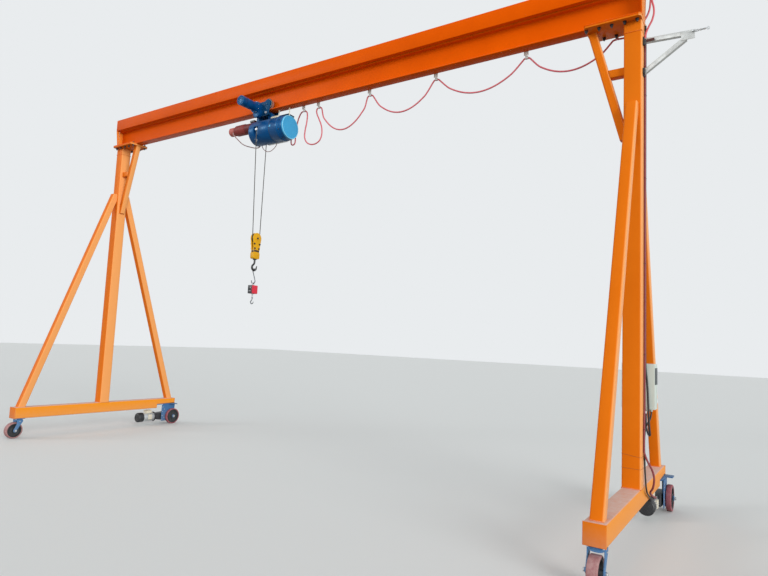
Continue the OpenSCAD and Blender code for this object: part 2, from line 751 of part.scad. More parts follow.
// Drum housing with a raised band at each end, a seam, the rope's slot and two hanging lugs
module hoist_housing() {
    color(hoist_blue) {
        difference() {
            translate([hoist_x0, 0, hoist_z]) rotate([0, 90, 0]) rotate_extrude() polygon([
                [0, 0], [hoist_r - 12, 0], [hoist_r, 12], [hoist_r, hoist_length * 0.7],
                [hoist_r - 3, hoist_length * 0.7], [hoist_r - 3, hoist_length * 0.7 + 5],
                [hoist_r, hoist_length * 0.7 + 5], [hoist_r, hoist_length - 48],
                [hoist_r + rim_rise, hoist_length - 44], [hoist_r + rim_rise, hoist_length - 12],
                [hoist_r, hoist_length - 8], [hoist_r, hoist_length], [0, hoist_length]]);
            block([hook_x - 18, -hoist_r - 10, hoist_z - rope_slot_down],
                  [hook_x + 62, -hoist_r + rope_slot_depth, hoist_z + rope_slot_up]);
            block([hook_x - 14, rope_rear_y - 14, hoist_z - hoist_r],
                  [hook_x + 14, rope_rear_y + 16, hoist_z + rope_slot_up]);
        }
        for (x = [trolley_x - half_base, trolley_x + half_base]) plate_xz(-32, 32) difference() {
            union() {
                translate([x, tie_z]) circle(r = 30);
                translate([x - 30, hoist_z + hoist_r - 20]) square([60, tie_z - hoist_z - hoist_r + 20]);
            }
            translate([x, tie_z]) circle(r = tie_r + seat_gap);
        }
        bar_x([hoist_x0 - 50, 0, hoist_z - 40], 62, 51);
    }
}

// Round cover with a rounded edge and a raised rim
module hoist_end_cover() {
    edge = 16;
    r = hoist_r - 6;
    color(light_blue) translate([hoist_x1, 0, hoist_z]) rotate([0, 90, 0]) rotate_extrude() {
        square([r, cover_length - edge]);
        square([r - edge, cover_length]);
        translate([r - edge, cover_length - edge]) circle(r = edge);
        translate([r - 4, 0]) square([9, 14]);
    }
}

// Stepped motor, higher than the drum's axis
module hoist_motor() {
    z = hoist_z + hoist_r - motor_r + 22;
    body = motor_length - 140;
    color(motor_red) translate([hoist_x0, 0, z]) rotate([0, -90, 0]) rotate_extrude() polygon([
        [0, 0], [motor_r + 8, 0], [motor_r + 8, 16], [motor_r - 8, 30], [motor_r - 8, body - 190],
        [motor_r, body - 180], [motor_r, body - 8], [motor_r - 6, body], [motor_r - 18, body],
        [motor_r - 18, body + 30], [motor_r - 14, body + 34], [motor_r - 14, motor_length - 18],
        [motor_r - 30, motor_length], [0, motor_length]]);
}

// Two falls of wire rope, from the slots in the housing down to the sheave
rope_top_z = hoist_z + rope_slot_up - 2 * seat_gap;

module hoist_ropes() {
    color(steel) {
        tube([[hook_x + 37, -hoist_r + 6, rope_top_z], [hook_x, -sheave_pitch_r, sheave_z + 2 * seat_gap]], rope_r, 8);
        tube([[hook_x, rope_rear_y, rope_top_z], [hook_x, sheave_pitch_r, sheave_z + 2 * seat_gap]], rope_r, 8);
    }
}

// Hook block: two cheeks round the sheave, a guard over each edge, and a crosshead for the hook
block_w = 54;
cheek_t = 10;
cheek_r = 76;
crosshead_h = 96;
crosshead_z = sheave_z - 285;
neck_z = crosshead_z + crosshead_h;
sheave_axle_r = 14;
hook_shank_r = 15;
hook_nut_r = 24;
hook_nut_h = 22;

module hook_block() {
    inner = block_w / 2 - cheek_t;
    color(yellow) {
        for (x0 = [hook_x - block_w / 2, hook_x + inner]) plate_yz(x0, x0 + cheek_t) {
            translate([0, sheave_z]) circle(r = cheek_r);
            polygon([[-cheek_r, sheave_z], [cheek_r, sheave_z], [48, neck_z - 10], [-48, neck_z - 10]]);
        }
        block([hook_x - inner - 1, -40, neck_z - 10], [hook_x + inner + 1, 40, neck_z + 46]);
        bar_x([hook_x - block_w / 2 - 6, 0, sheave_z], sheave_axle_r, block_w + 12);
        bar_x([hook_x - block_w / 2 - 6, 0, sheave_z], sheave_axle_r + 8, 6);
        bar_x([hook_x + block_w / 2, 0, sheave_z], sheave_axle_r + 8, 6);
        difference() {
            plate_yz(hook_x - block_w / 2 - 5, hook_x + block_w / 2 + 5) polygon([
                [-56, crosshead_z + 14], [-46, crosshead_z], [46, crosshead_z], [56, crosshead_z + 14],
                [56, neck_z - 18], [44, neck_z - 6], [-44, neck_z - 6], [-56, neck_z - 18]]);
            bar_z([hook_x, 0, crosshead_z - 1], hook_shank_r + shaft_gap, 60);
            bar_z([hook_x, 0, crosshead_z + 30], hook_nut_r + 2, hook_nut_h + 8);
        }
    }
}

// The grooved sheave, and the rope that runs round its lower half
module hook_sheave() {
    groove_r = sheave_pitch_r - rope_r - seat_gap;
    rim_r = sheave_pitch_r + rope_r;
    half_rim = block_w / 2 - cheek_t - side_gap;
    translate([hook_x, 0, sheave_z]) rotate([90, 0, 90]) {
        color(black) rotate_extrude() polygon([
            [sheave_axle_r + shaft_gap, -half_rim], [sheave_axle_r + 10, -half_rim], [sheave_axle_r + 14, -6],
            [groove_r - 12, -6], [rim_r - 6, -half_rim], [rim_r, -half_rim], [rim_r, -half_rim + 2],
            [groove_r, -rope_r * 0.7], [groove_r, rope_r * 0.7],
            [rim_r, half_rim - 2], [rim_r, half_rim], [rim_r - 6, half_rim], [groove_r - 12, 6],
            [sheave_axle_r + 14, 6], [sheave_axle_r + 10, half_rim], [sheave_axle_r + shaft_gap, half_rim]]);
        color(steel) rotate([0, 0, 180]) rotate_extrude(angle = 180)
            translate([sheave_pitch_r, 0]) circle(r = rope_r);
    }
}

// The forged hook: a shank with its nut inside the crosshead, and a bowl that tapers to the tip
hook_mean_r = 40;
hook_wire_r = 15;
hook_z = crosshead_z - 119;

module lifting_hook() {
    r = hook_mean_r;
    neck = [[0, crosshead_z - 20], [0, hook_z + r + 26], [-7, hook_z + r + 9]];
    bowl = [for (a = [125 : 18.5 : 347]) [r * cos(a), hook_z + r * sin(a)]];
    tip = [[r + 2, hook_z + 8], [r + 8, hook_z + 24]];
    path = [for (p = concat(neck, bowl, tip)) [hook_x, p[0], p[1]]];
    radii = [13, 13, 13, 13, 13.5, 14, 14.5, 15, 15, 15, 15, 15, 14, 12.5, 11, 9.5, 8, 5];
    color(black) {
        tube(path, radii, 12);
        bar_z([hook_x, 0, crosshead_z - 26], hook_shank_r, 26 + 30 + seat_gap);
        bar_z([hook_x, 0, crosshead_z + 30 + seat_gap], hook_nut_r, hook_nut_h);
    }
}

// The S-hook: two arcs that a straight, slanted shank joins as their inner tangent
s_wire_r = 6;
s_high_r = hook_wire_r + seat_gap + s_wire_r;
s_low_r = 34;
s_z = hook_z - hook_mean_r;
s_drop = 150;
s_low_z = s_z - s_drop;
s_lean = asin((s_high_r + s_low_r) / s_drop);

module s_hook() {
    shank = sqrt(s_drop * s_drop - pow(s_high_r + s_low_r, 2));
    way = [-cos(s_lean), 0, -sin(s_lean)];
    color(steel) {
        arc_xz([hook_x, 0, s_z], s_high_r, -25, 180 + s_lean);
        arc_xz([hook_x, 0, s_low_z], s_low_r, -198, s_lean);
        translate([hook_x, 0, s_z] + s_high_r * way) rotate([0, 180 - s_lean, 0])
            translate([0, 0, -2]) cylinder(r = s_wire_r + 0.15, h = shank + 4);
    }
}

// Part of a ring of wire in the X and Z plane, from one angle to another
module arc_xz(at, r, from, to) {
    translate(at) rotate([90, 0, 0]) rotate([0, 0, from]) rotate_extrude(angle = to - from)
        translate([r, 0]) circle(r = s_wire_r);
}

// The scale hangs by an eye from the lowest point of the S-hook
eye_r = 17;
eye_wire_r = 5;
eye_seat = 0.8;
eye_z = s_low_z - s_low_r + s_wire_r + eye_seat + eye_wire_r - eye_r;
scale_w = 84;
scale_d = 100;
scale_h = 116;
scale_corner = 12;
scale_top = eye_z - eye_r - eye_wire_r + 3;
scale_bottom = scale_top - scale_h;
shank_length = 50;

module crane_scale() {
    x0 = hook_x - scale_w / 2 + scale_corner;
    x1 = hook_x + scale_w / 2 - scale_corner;
    half = scale_d / 2;
    color("#E85060") {
        for (x = [x0, x1]) for (z = [scale_bottom + scale_corner, scale_top - scale_corner])
            bar_y([x, -half, z], scale_corner, scale_d);
        block([x0 - scale_corner, -half, scale_bottom + scale_corner],
              [x1 + scale_corner, half, scale_top - scale_corner]);
        block([x0, -half, scale_bottom], [x1, half, scale_top]);
        block([x0 - 2, -half - 3, scale_bottom + 20], [x1 + 2, -half, scale_top - 20]);
    }
    color(steel) {
        bar_z([hook_x, 0, scale_bottom - shank_length], 9, shank_length);
        bar_z([hook_x, 0, scale_bottom - 8], 16, 8);
        translate([hook_x, 0, eye_z]) rotate([0, 90, 0])
            rotate_extrude() translate([eye_r, 0]) circle(r = eye_wire_r);
    }
}

low_hook_r = 25;

module scale_hook() {
    r = low_hook_r;
    z_top = scale_bottom - shank_length - seat_gap;
    z = z_top - 38 - r;
    neck = [[0, z_top - 10], [0, z + r + 15], [-4, z + r + 4]];
    bowl = [for (a = [130 : 20 : 330]) [r * cos(a), z + r * sin(a)]];
    tip = [[r + 2, z + 6]];
    path = [for (p = concat(neck, bowl, tip)) [hook_x + p[0], 0, p[1]]];
    radii = [5, 5, 5.5, 6, 6.5, 7, 7, 7, 7, 7, 7, 6.5, 6, 5.5, 4];
    color(steel) {
        bar_z([hook_x, 0, z_top - 14], 11, 14);
        tube(path, radii, 8);
    }
}

// Festoon

carrier_x = [-100, 158, 991, 1934, 3025];
anchor = [-405, 190, girder_underside - 80];
clamp_x = 3929;
clamp_y = 150;
saddle_wall = 4;
cable_z = girder_underside - 58;
roller_r = 12;
carrier_plate = 5;

// A small hanger: two rollers on the flange, a plate beside it and a saddle that holds the cable
module carrier(x) {
    half = ibeam_width / 2;
    y_plate = half + 6;
    z_axle = flange_top + roller_r + 0.5;
    color("#E8E8E4") {
        for (dx = [-16, 16]) bar_y([x + dx, half - 16, z_axle], roller_r, y_plate - half + 16);
        plate_xz(y_plate, y_plate + carrier_plate) {
            for (dx = [-16, 16]) translate([x + dx, z_axle]) circle(r = 9);
            translate([x - 25, cable_z + 20]) square([50, z_axle - cable_z - 20]);
        }
        block([x - 9, y_plate, cable_z + cable_r + 2 * seat_gap], [x + 9, cable_y + 12, cable_z + 24]);
        saddle([x, cable_y, cable_z]);
    }
}

// A half ring over the cable, with short walls down its sides
module saddle(at) {
    inner = cable_r + 2 * seat_gap;
    outer = inner + saddle_wall;
    plate_at = at[0] - 14;
    difference() {
        union() {
            bar_x([plate_at, at[1], at[2]], outer, 28);
            block([plate_at, at[1] - outer, at[2]], [plate_at + 28, at[1] + outer, at[2] + outer]);
        }
        bar_x([plate_at - 1, at[1], at[2]], inner, 30);
        block([plate_at - 1, at[1] - inner, at[2] - outer - 1], [plate_at + 29, at[1] + inner, at[2]]);
    }
}

module cable_end_clamps() {
    color("#E8E8E4") block([clamp_x - 14, clamp_y - 12, cable_z + cable_r + seat_gap],
        [clamp_x + 14, clamp_y + 12, column_top]);
}

// One hanging loop between two carriers: a parabola when wide, fuller when deep
function loop_points(x0, x1, sag, full, count, y1 = cable_y) = [for (i = [0 : count - 1])
    let (turn = 180 * i / count, share = (1 - cos(turn)) / 2)
    [x0 + (x1 - x0) * share, cable_y + (y1 - cable_y) * share, cable_z - sag * pow(sin(turn), full)]];

// The first loop hangs behind the drum housing, from the trolley's arm to the first carrier
first_loop = [anchor + [0, 0, -2], [-402, 190, 4500], [-396, 190, 4350], [-384, 190, 4306],
    [-366, 190, 4310], [-348, 188, 4400], [-315, 178, 4580], [-240, 140, 4690], [-165, 104, 4714], [-122, 96, cable_z]];

module festoon_cable() {
    color(cable_red) tube(concat(
        first_loop,
        loop_points(carrier_x[0], carrier_x[1], 500, 1.1, 10),
        loop_points(carrier_x[1], carrier_x[2], 370, 1.8, 9),
        loop_points(carrier_x[2], carrier_x[3], 300, 2, 9),
        loop_points(carrier_x[3], carrier_x[4], 260, 2, 9),
        loop_points(carrier_x[4], clamp_x - 24, 230, 2, 8, clamp_y),
        [[clamp_x - 16, clamp_y, cable_z], [clamp_x - 3, clamp_y, cable_z]]), cable_r, 8);
}

box_girder();
i_beam();
end_plates();
girder_plates();
leg_head_plates();
column(left);  // left_column
column(right);  // right_column
brace(left, -1);  // left_front_brace
brace(left, 1);  // left_rear_brace
brace(right, -1);  // right_front_brace
brace(right, 1);  // right_rear_brace
knee_brace(left);  // left_knee_brace
knee_brace(right);  // right_knee_brace
knee_struts();
base_beam(left);  // left_base_beam
base_beam(right);  // right_base_beam
base_end_caps();
drive_brackets();
drive_gearboxes();
drive_motors();
drive_fan_covers();
drive_hub(left);  // left_drive_hub
drive_tyre(left);  // left_drive_tyre
drive_hub(right);  // right_drive_hub
drive_tyre(right);  // right_drive_tyre
castor_plates();
castor_fork(left);  // left_castor_fork
castor_hub(left);  // left_castor_hub
castor_tyre(left);  // left_castor_tyre
castor_fork(right);  // right_castor_fork
castor_hub(right);  // right_castor_hub
castor_tyre(right);  // right_castor_tyre
control_cabinet();
cable_arm();
wire_tensioner();
column_cables();
trolley_plates();
trolley_drive();
trolley_wheel(-1, -1);  // front_left_trolley_wheel
trolley_wheel(1, -1);  // front_right_trolley_wheel
trolley_wheel(-1, 1);  // rear_left_trolley_wheel
trolley_wheel(1, 1);  // rear_right_trolley_wheel
hoist_housing();
hoist_end_cover();
hoist_motor();
hoist_ropes();
hook_block();
hook_sheave();
lifting_hook();
s_hook();
crane_scale();
scale_hook();
carrier(carrier_x[0]);  // cable_carrier_1
carrier(carrier_x[1]);  // cable_carrier_2
carrier(carrier_x[2]);  // cable_carrier_3
carrier(carrier_x[3]);  // cable_carrier_4
carrier(carrier_x[4]);  // cable_carrier_5
cable_end_clamps();
festoon_cable();
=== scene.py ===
# A gantry crane for a workshop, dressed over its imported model.
# X runs along the girder, +Y is the rear with the driven wheels, Z is up, all in metres.

import json
import math

import bpy
from mathutils import Matrix, Vector


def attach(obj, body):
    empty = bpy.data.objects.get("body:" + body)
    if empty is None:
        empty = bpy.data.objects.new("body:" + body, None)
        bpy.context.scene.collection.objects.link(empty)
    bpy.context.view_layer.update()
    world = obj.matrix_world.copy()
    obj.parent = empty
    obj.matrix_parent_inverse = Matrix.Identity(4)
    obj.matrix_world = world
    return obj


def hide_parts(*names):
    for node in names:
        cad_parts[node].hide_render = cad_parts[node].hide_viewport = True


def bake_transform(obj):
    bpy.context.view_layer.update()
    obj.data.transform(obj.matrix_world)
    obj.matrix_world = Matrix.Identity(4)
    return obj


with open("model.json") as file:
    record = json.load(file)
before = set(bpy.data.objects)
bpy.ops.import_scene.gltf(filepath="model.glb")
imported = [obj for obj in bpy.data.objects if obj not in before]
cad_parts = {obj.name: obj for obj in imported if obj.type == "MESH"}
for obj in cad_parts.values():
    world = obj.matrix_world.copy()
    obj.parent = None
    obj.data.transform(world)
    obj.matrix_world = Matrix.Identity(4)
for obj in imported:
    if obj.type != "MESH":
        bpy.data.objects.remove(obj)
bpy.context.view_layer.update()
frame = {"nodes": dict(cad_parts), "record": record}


# Camera
# A phone at eye height, close to the right leg, looking up and across to the left one.
def add_object(name, data):
    """Puts a new object with its data into the scene"""
    added = bpy.data.objects.new(name, data)
    bpy.context.scene.collection.objects.link(added)
    return added


camera = add_object("camera", bpy.data.cameras.new("camera"))
camera.data.sensor_width = 36
camera.data.lens = 27.31
camera.data.clip_end = 200
camera.matrix_world = (
    Matrix.Translation((5.1275, -5.6709, 1.6135))
    @ Matrix.Rotation(0.58304, 4, "Z")
    @ Matrix.Rotation(math.pi / 2 + 0.09529, 4, "X")
    @ Matrix.Rotation(0.04444, 4, "Z")
)
bpy.context.scene.camera = camera
bpy.context.scene.view_settings.view_transform = "Standard"


# Floor and light
# A plain pale floor, broad window light from the right front, a small window on the left that
# gives round things their gleam, and even light from all round. What the floor throws back up
# is darker than what the camera sees, as from a painted floor.
def linear(hex_colour):
    """A hex sRGB colour as linear red, green, blue and alpha"""
    shares = [int(hex_colour[i:i + 2], 16) / 255 for i in (1, 3, 5)]
    return [s / 12.92 if s <= 0.04045 else ((s + 0.055) / 1.055) ** 2.4 for s in shares] + [1.0]


def add_node(owner, kind, inputs=None, **settings):
    """Adds a node to a material or world, with its settings, and sets its inputs or links them to
    a socket or to the first output of a node. A colour mix takes its colours at 6 and 7. A map range
    takes its value at 0, the range that it reads at 1 and 2, and the one that it gives at 3 and 4."""
    tree = owner.node_tree
    node = tree.nodes.new("ShaderNode" + kind)
    for name, value in settings.items():
        setattr(node, name, value)
    for name, value in (inputs or {}).items():
        if isinstance(value, bpy.types.Node):
            value = value.outputs[0]
        if isinstance(value, bpy.types.NodeSocket):
            tree.links.new(value, node.inputs[name])
        else:
            node.inputs[name].default_value = value
    return node


def new_finish(name):
    """A new material and its object coordinates"""
    material = bpy.data.materials.new(name)
    material.use_nodes = True
    return material, add_node(material, "TexCoord").outputs["Object"]


def shade(material, mask, low, high, roughness, relief=None):
    """Mixes two colours by a mask, each a hex colour or a node's, and gives the shader the mix,
    its roughness as a number or a node, and its relief"""
    low, high = (linear(colour) if isinstance(colour, str) else colour for colour in (low, high))
    mix = add_node(material, "Mix", {0: mask, 6: low, 7: high}, data_type="RGBA")
    shader = material.node_tree.nodes["Principled BSDF"]
    links = material.node_tree.links
    links.new(mix.outputs[2], shader.inputs["Base Color"])
    if isinstance(roughness, float):
        shader.inputs["Roughness"].default_value = roughness
    else:
        links.new(roughness.outputs[0], shader.inputs["Roughness"])
    if relief:
        links.new(relief.outputs[0], shader.inputs["Normal"])
    return shader


world = bpy.data.worlds.new("hall")
bpy.context.scene.world = world
world.use_nodes = True
world.node_tree.nodes.clear()
ray = add_node(world, "LightPath").outputs
seen = add_node(world, "Math", {0: ray["Is Camera Ray"], 1: ray["Is Glossy Ray"]}, operation="MAXIMUM")
soft_light = add_node(world, "Background", {"Color": linear("#E8EDF0"), "Strength": 0.64})
pale_view = add_node(world, "Background", {"Color": linear("#E9ECEE"), "Strength": 1.0})
both = add_node(world, "MixShader", {0: seen, 1: soft_light, 2: pale_view})
add_node(world, "OutputWorld", {0: both})

floor_paint = new_finish("painted_concrete_floor")[0]
bounced = add_node(floor_paint, "LightPath").outputs["Is Diffuse Ray"]
shade(floor_paint, bounced, "#E2E3E1", "#8F897C", 0.75)
bpy.ops.mesh.primitive_plane_add(size=120)
floor = bpy.context.object
floor.name = "floor"
floor.data.materials.append(floor_paint)

for lamp_name, towards, power, spread in (
    ("window_light", (-0.86, 0.40, -0.20), 2.5, 35),
    ("front_fill", (0.30, 0.92, -0.10), 0.7, 50),
    ("side_window", (0.663, 0.679, -0.317), 0.7, 15),
):
    lamp = add_object(lamp_name, bpy.data.lights.new(lamp_name, "SUN"))
    lamp.data.energy = power
    lamp.data.angle = math.radians(spread)
    lamp.rotation_euler = Vector(towards).to_track_quat("-Z", "Y").to_euler()


# Festoon and column cables
# Round rubber cable with a red sheath brings the current from the right column to the hoist, in
# loops that hang from small carriers. One red cable and two black ones run down the column.
def cable_sheath(name, sheath, fade_and_painted_light):
    """Extruded rubber sheath: dull, a little paler in patches and dusty, with no visible grain"""
    material, place = new_finish(name)
    fade = add_node(material, "TexNoise", {"Vector": place, "Scale": 9.0, "Detail": 4.0})
    scuffs = add_node(material, "TexNoise", {"Vector": place, "Scale": 220.0, "Detail": 3.0})
    dents = add_node(material, "Bump", {"Strength": 0.25, "Distance": 0.001, "Height": scuffs})
    shade(material, fade, sheath, fade_and_painted_light, 0.52, dents)
    return material


def smooth_route(points, steps):
    """Points on one smooth curve through the given ones, without bulges where they lie unevenly"""
    corners = [Vector(p) for p in points]
    corners = [2 * corners[0] - corners[1]] + corners + [2 * corners[-1] - corners[-2]]
    route = []
    for a, b, c, d in zip(corners, corners[1:], corners[2:], corners[3:]):
        at_b = (b - a).length ** 0.5
        at_c = at_b + (c - b).length ** 0.5
        at_d = at_c + (d - c).length ** 0.5
        for i in range(steps):
            t = at_b + (at_c - at_b) * i / steps
            ab = a + (b - a) * (t / at_b)
            bc = b + (c - b) * ((t - at_b) / (at_c - at_b))
            cd = c + (d - c) * ((t - at_c) / (at_d - at_c))
            abc = ab + (bc - ab) * (t / at_c)
            bcd = bc + (cd - bc) * ((t - at_b) / (at_d - at_b))
            route.append(abc + (bcd - abc) * ((t - at_b) / (at_c - at_b)))
    return route + [corners[-2]]


def only(piece):
    """Deselects everything and makes one piece active"""
    bpy.ops.object.select_all(action="DESELECT")
    piece.select_set(True)
    bpy.context.view_layer.objects.active = piece


def clean_mesh(piece, angle):
    """Merges doubled points, turns the faces outwards and smooths the rounds"""
    only(piece)
    bpy.ops.object.mode_set(mode="EDIT")
    bpy.ops.mesh.select_all(action="SELECT")
    bpy.ops.mesh.remove_doubles(threshold=0.00001)
    bpy.ops.mesh.normals_make_consistent(inside=False)
    bpy.ops.object.mode_set(mode="OBJECT")
    bpy.ops.object.shade_smooth_by_angle(angle=math.radians(angle))


def round_rod(name, points, radius, shares=None, closed=False, round_steps=3):
    """A bar, wire or cable along points, with a share of its radius at each point if given"""
    line = bpy.data.curves.new(name, "CURVE")
    line.dimensions = "3D"
    line.bevel_depth = radius
    line.bevel_resolution = round_steps
    line.use_fill_caps = not closed
    spline = line.splines.new("POLY")
    spline.points.add(len(points) - 1)
    for i, (knot, place) in enumerate(zip(spline.points, points)):
        knot.co = (*place, 1)
        knot.radius = shares[i] if shares else 1
    spline.use_cyclic_u = closed
    rod = add_object(name, line)
    only(rod)
    bpy.ops.object.convert(target="MESH")
    clean_mesh(rod, 50)
    return rod


def finish_piece(piece, material, body):
    """Gives a piece its material and its body"""
    piece.data.materials.clear()
    piece.data.materials.append(material)
    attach(piece, body)
    return piece


def second_finish(piece, material, chosen):
    """Gives a second material to the faces whose centre and normal pass a test"""
    piece.data.materials.append(material)
    for face in piece.data.polygons:
        if chosen(face.center, face.normal):
            face.material_index = len(piece.data.materials) - 1


red_sheath = cable_sheath("red_rubber_sheath", "#C2434F", "#D4707A")
# A darker red sheath is painted shade for the cable below the arc
painted_shade_red_sheath = cable_sheath("red_rubber_sheath_painted_shade", "#7E2E38", "#8C444A")
black_sheath = cable_sheath("black_rubber_sheath", "#1C1B1C", "#353334")
cable_r = 0.009
saddle_y = 0.096
carrier_x = [-0.100, 0.158, 0.991, 1.934, 3.025]
clamp = Vector((3.929, 0.150, 4.722))

# From the trolley down under the end cover and up to the first carrier
festoon_points = [
    (-0.405, 0.190, 4.698), (-0.405, 0.190, 4.570), (-0.405, 0.190, 4.440), (-0.404, 0.190, 4.356),
    (-0.393, 0.190, 4.328), (-0.366, 0.190, 4.317), (-0.339, 0.190, 4.328), (-0.328, 0.190, 4.356),
    (-0.326, 0.188, 4.440), (-0.304, 0.178, 4.560), (-0.262, 0.156, 4.655), (-0.200, 0.124, 4.704),
    (-0.150, 0.101, 4.7195)]
# The first loop hangs long and narrow, because the trolley has pushed its carriers together
festoon_points += [(x, saddle_y, z) for x, z in (
    (carrier_x[0] - 0.012, clamp.z), (carrier_x[0] + 0.012, clamp.z),
    (-0.058, 4.700), (-0.046, 4.655), (-0.050, 4.560), (-0.072, 4.440), (-0.072, 4.345), (-0.028, 4.270),
    (0.050, 4.232), (0.130, 4.232), (0.196, 4.268), (0.226, 4.345), (0.212, 4.460), (0.160, 4.570),
    (0.124, 4.640), (0.114, 4.686), (0.123, 4.711))]
# The others are fuller arcs from saddle to saddle, and the last one swings out to the clamp
saddle_end = ((0.030, 0.005), (0.043, 0.018))
below_saddle = 0.110
loop_ends = carrier_x[1:] + [clamp.x - 0.008]
loop_shapes = ((0.370, 1.8), (0.300, 2), (0.260, 2), (0.230, 2))
for start, end, (sag, narrowness) in zip(loop_ends, loop_ends[1:], loop_shapes):
    side = clamp.y if end == loop_ends[-1] else saddle_y
    for dx, dz in ((-0.012, 0), (0.012, 0)) + saddle_end:
        festoon_points.append((start + dx, saddle_y, clamp.z - dz))
    for k in range(1, 20):
        share = (1 - math.cos(math.pi * k / 20)) / 2
        drop = sag * math.sin(math.pi * k / 20) ** narrowness
        if drop > below_saddle:
            y = saddle_y + (side - saddle_y) * share
            festoon_points.append((start + (end - start) * share, y, clamp.z - drop))
    festoon_points += [(end - dx, side, clamp.z - dz) for dx, dz in saddle_end[::-1]]
festoon_points += [(clamp.x - 0.018, clamp.y, clamp.z), (clamp.x - 0.003, clamp.y, clamp.z)]
festoon_route = smooth_route(festoon_points, 4)
festoon = round_rod("festoon_hanging_cable", festoon_route, cable_r)
festoon.data.materials.append(red_sheath)
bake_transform(festoon)
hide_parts("festoon_cable")

# From the clamp it goes on in a wide arc past the girder's end, down the column and along the
# base beam to the travel motor. Below the arc its sheath is painted darker, as painted shade.
red_route = smooth_route([
    (3.931, 0.150, 4.722), (3.952, 0.150, 4.722), (4.020, 0.176, 4.738), (4.105, 0.190, 4.800),
    (4.175, 0.196, 4.880), (4.216, 0.194, 4.964), (4.228, 0.186, 5.040), (4.233, 0.164, 5.098),
    (4.238, 0.120, 5.124), (4.243, 0.076, 5.098), (4.252, 0.056, 5.040), (4.265, 0.048, 4.965),
    (4.279, 0.042, 4.900), (4.281, 0.037, 4.835), (4.264, 0.036, 4.768), (4.234, 0.039, 4.712),
    (4.211, 0.043, 4.655), (4.2043, 0.044, 4.600), (4.2043, 0.044, 4.550), (4.2043, 0.044, 1.250),
    (4.2043, 0.044, 1.200), (4.2043, 0.040, 1.120), (4.2043, 0.026, 1.000), (4.2043, 0.024, 0.930),
    (4.2043, 0.024, 0.800), (4.2050, 0.024, 0.760), (4.230, 0.046, 0.680), (4.264, 0.076, 0.600),
    (4.276, 0.092, 0.530), (4.264, 0.110, 0.450), (4.232, 0.180, 0.392), (4.222, 0.340, 0.330),
    (4.222, 0.520, 0.280), (4.206, 0.640, 0.250), (4.172, 0.730, 0.232), (4.146, 0.785, 0.227),
    (4.140, 0.8272, 0.226)], 6)
red_cable = round_rod("red_column_cable", red_route, cable_r)
finish_piece(red_cable, painted_shade_red_sheath, "frame")
# The arc above the column keeps the plain red sheath; the rest is darker as painted shade
second_finish(red_cable, red_sheath, lambda centre, normal: centre.z > 4.60)
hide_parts("column_cables")

# One black cable goes from the cabinet down to the motor, the other from the arm to the cabinet
for name, r, knots in (
    ("black_column_cable", 0.007, [
        (4.240, 0.167, 1.1087), (4.240, 0.167, 1.085), (4.234, 0.145, 1.040), (4.212, 0.076, 0.980),
        (4.2023, 0.062, 0.900), (4.2023, 0.062, 0.700), (4.208, 0.062, 0.560), (4.216, 0.075, 0.430),
        (4.214, 0.260, 0.330), (4.212, 0.520, 0.258), (4.170, 0.640, 0.250), (4.120, 0.740, 0.240),
        (4.105, 0.810, 0.228), (4.105, 0.8272, 0.228)]),
    ("black_supply_cable", cable_r, [
        (4.2045, 0.068, 4.7465), (4.2045, 0.068, 4.700), (4.2045, 0.066, 4.600), (4.2045, 0.066, 1.800),
        (4.2045, 0.066, 1.700), (4.208, 0.066, 1.520), (4.222, 0.066, 1.360), (4.230, 0.066, 1.200),
        (4.235, 0.068, 1.060), (4.239, 0.080, 0.960), (4.238, 0.112, 0.905), (4.222, 0.150, 0.900),
        (4.202, 0.167, 0.950), (4.195, 0.167, 1.030), (4.195, 0.167, 1.0865)]),
):
    route = smooth_route(knots, 6)
    cable = finish_piece(round_rod(name, route, r), black_sheath, "frame")

# Orange steelwork
# Box girder on a rolled I-beam, square tube legs, braces and base beams, all welded and sprayed
# with orange enamel. The mill's rounded corners catch the light, and dust lies on what faces up.
body_of = {node: body for body, nodes in frame["record"]["behaviour"]["bodies"].items() for node in nodes}
sharp_angle = math.radians(35)
longest_cut = 0.25


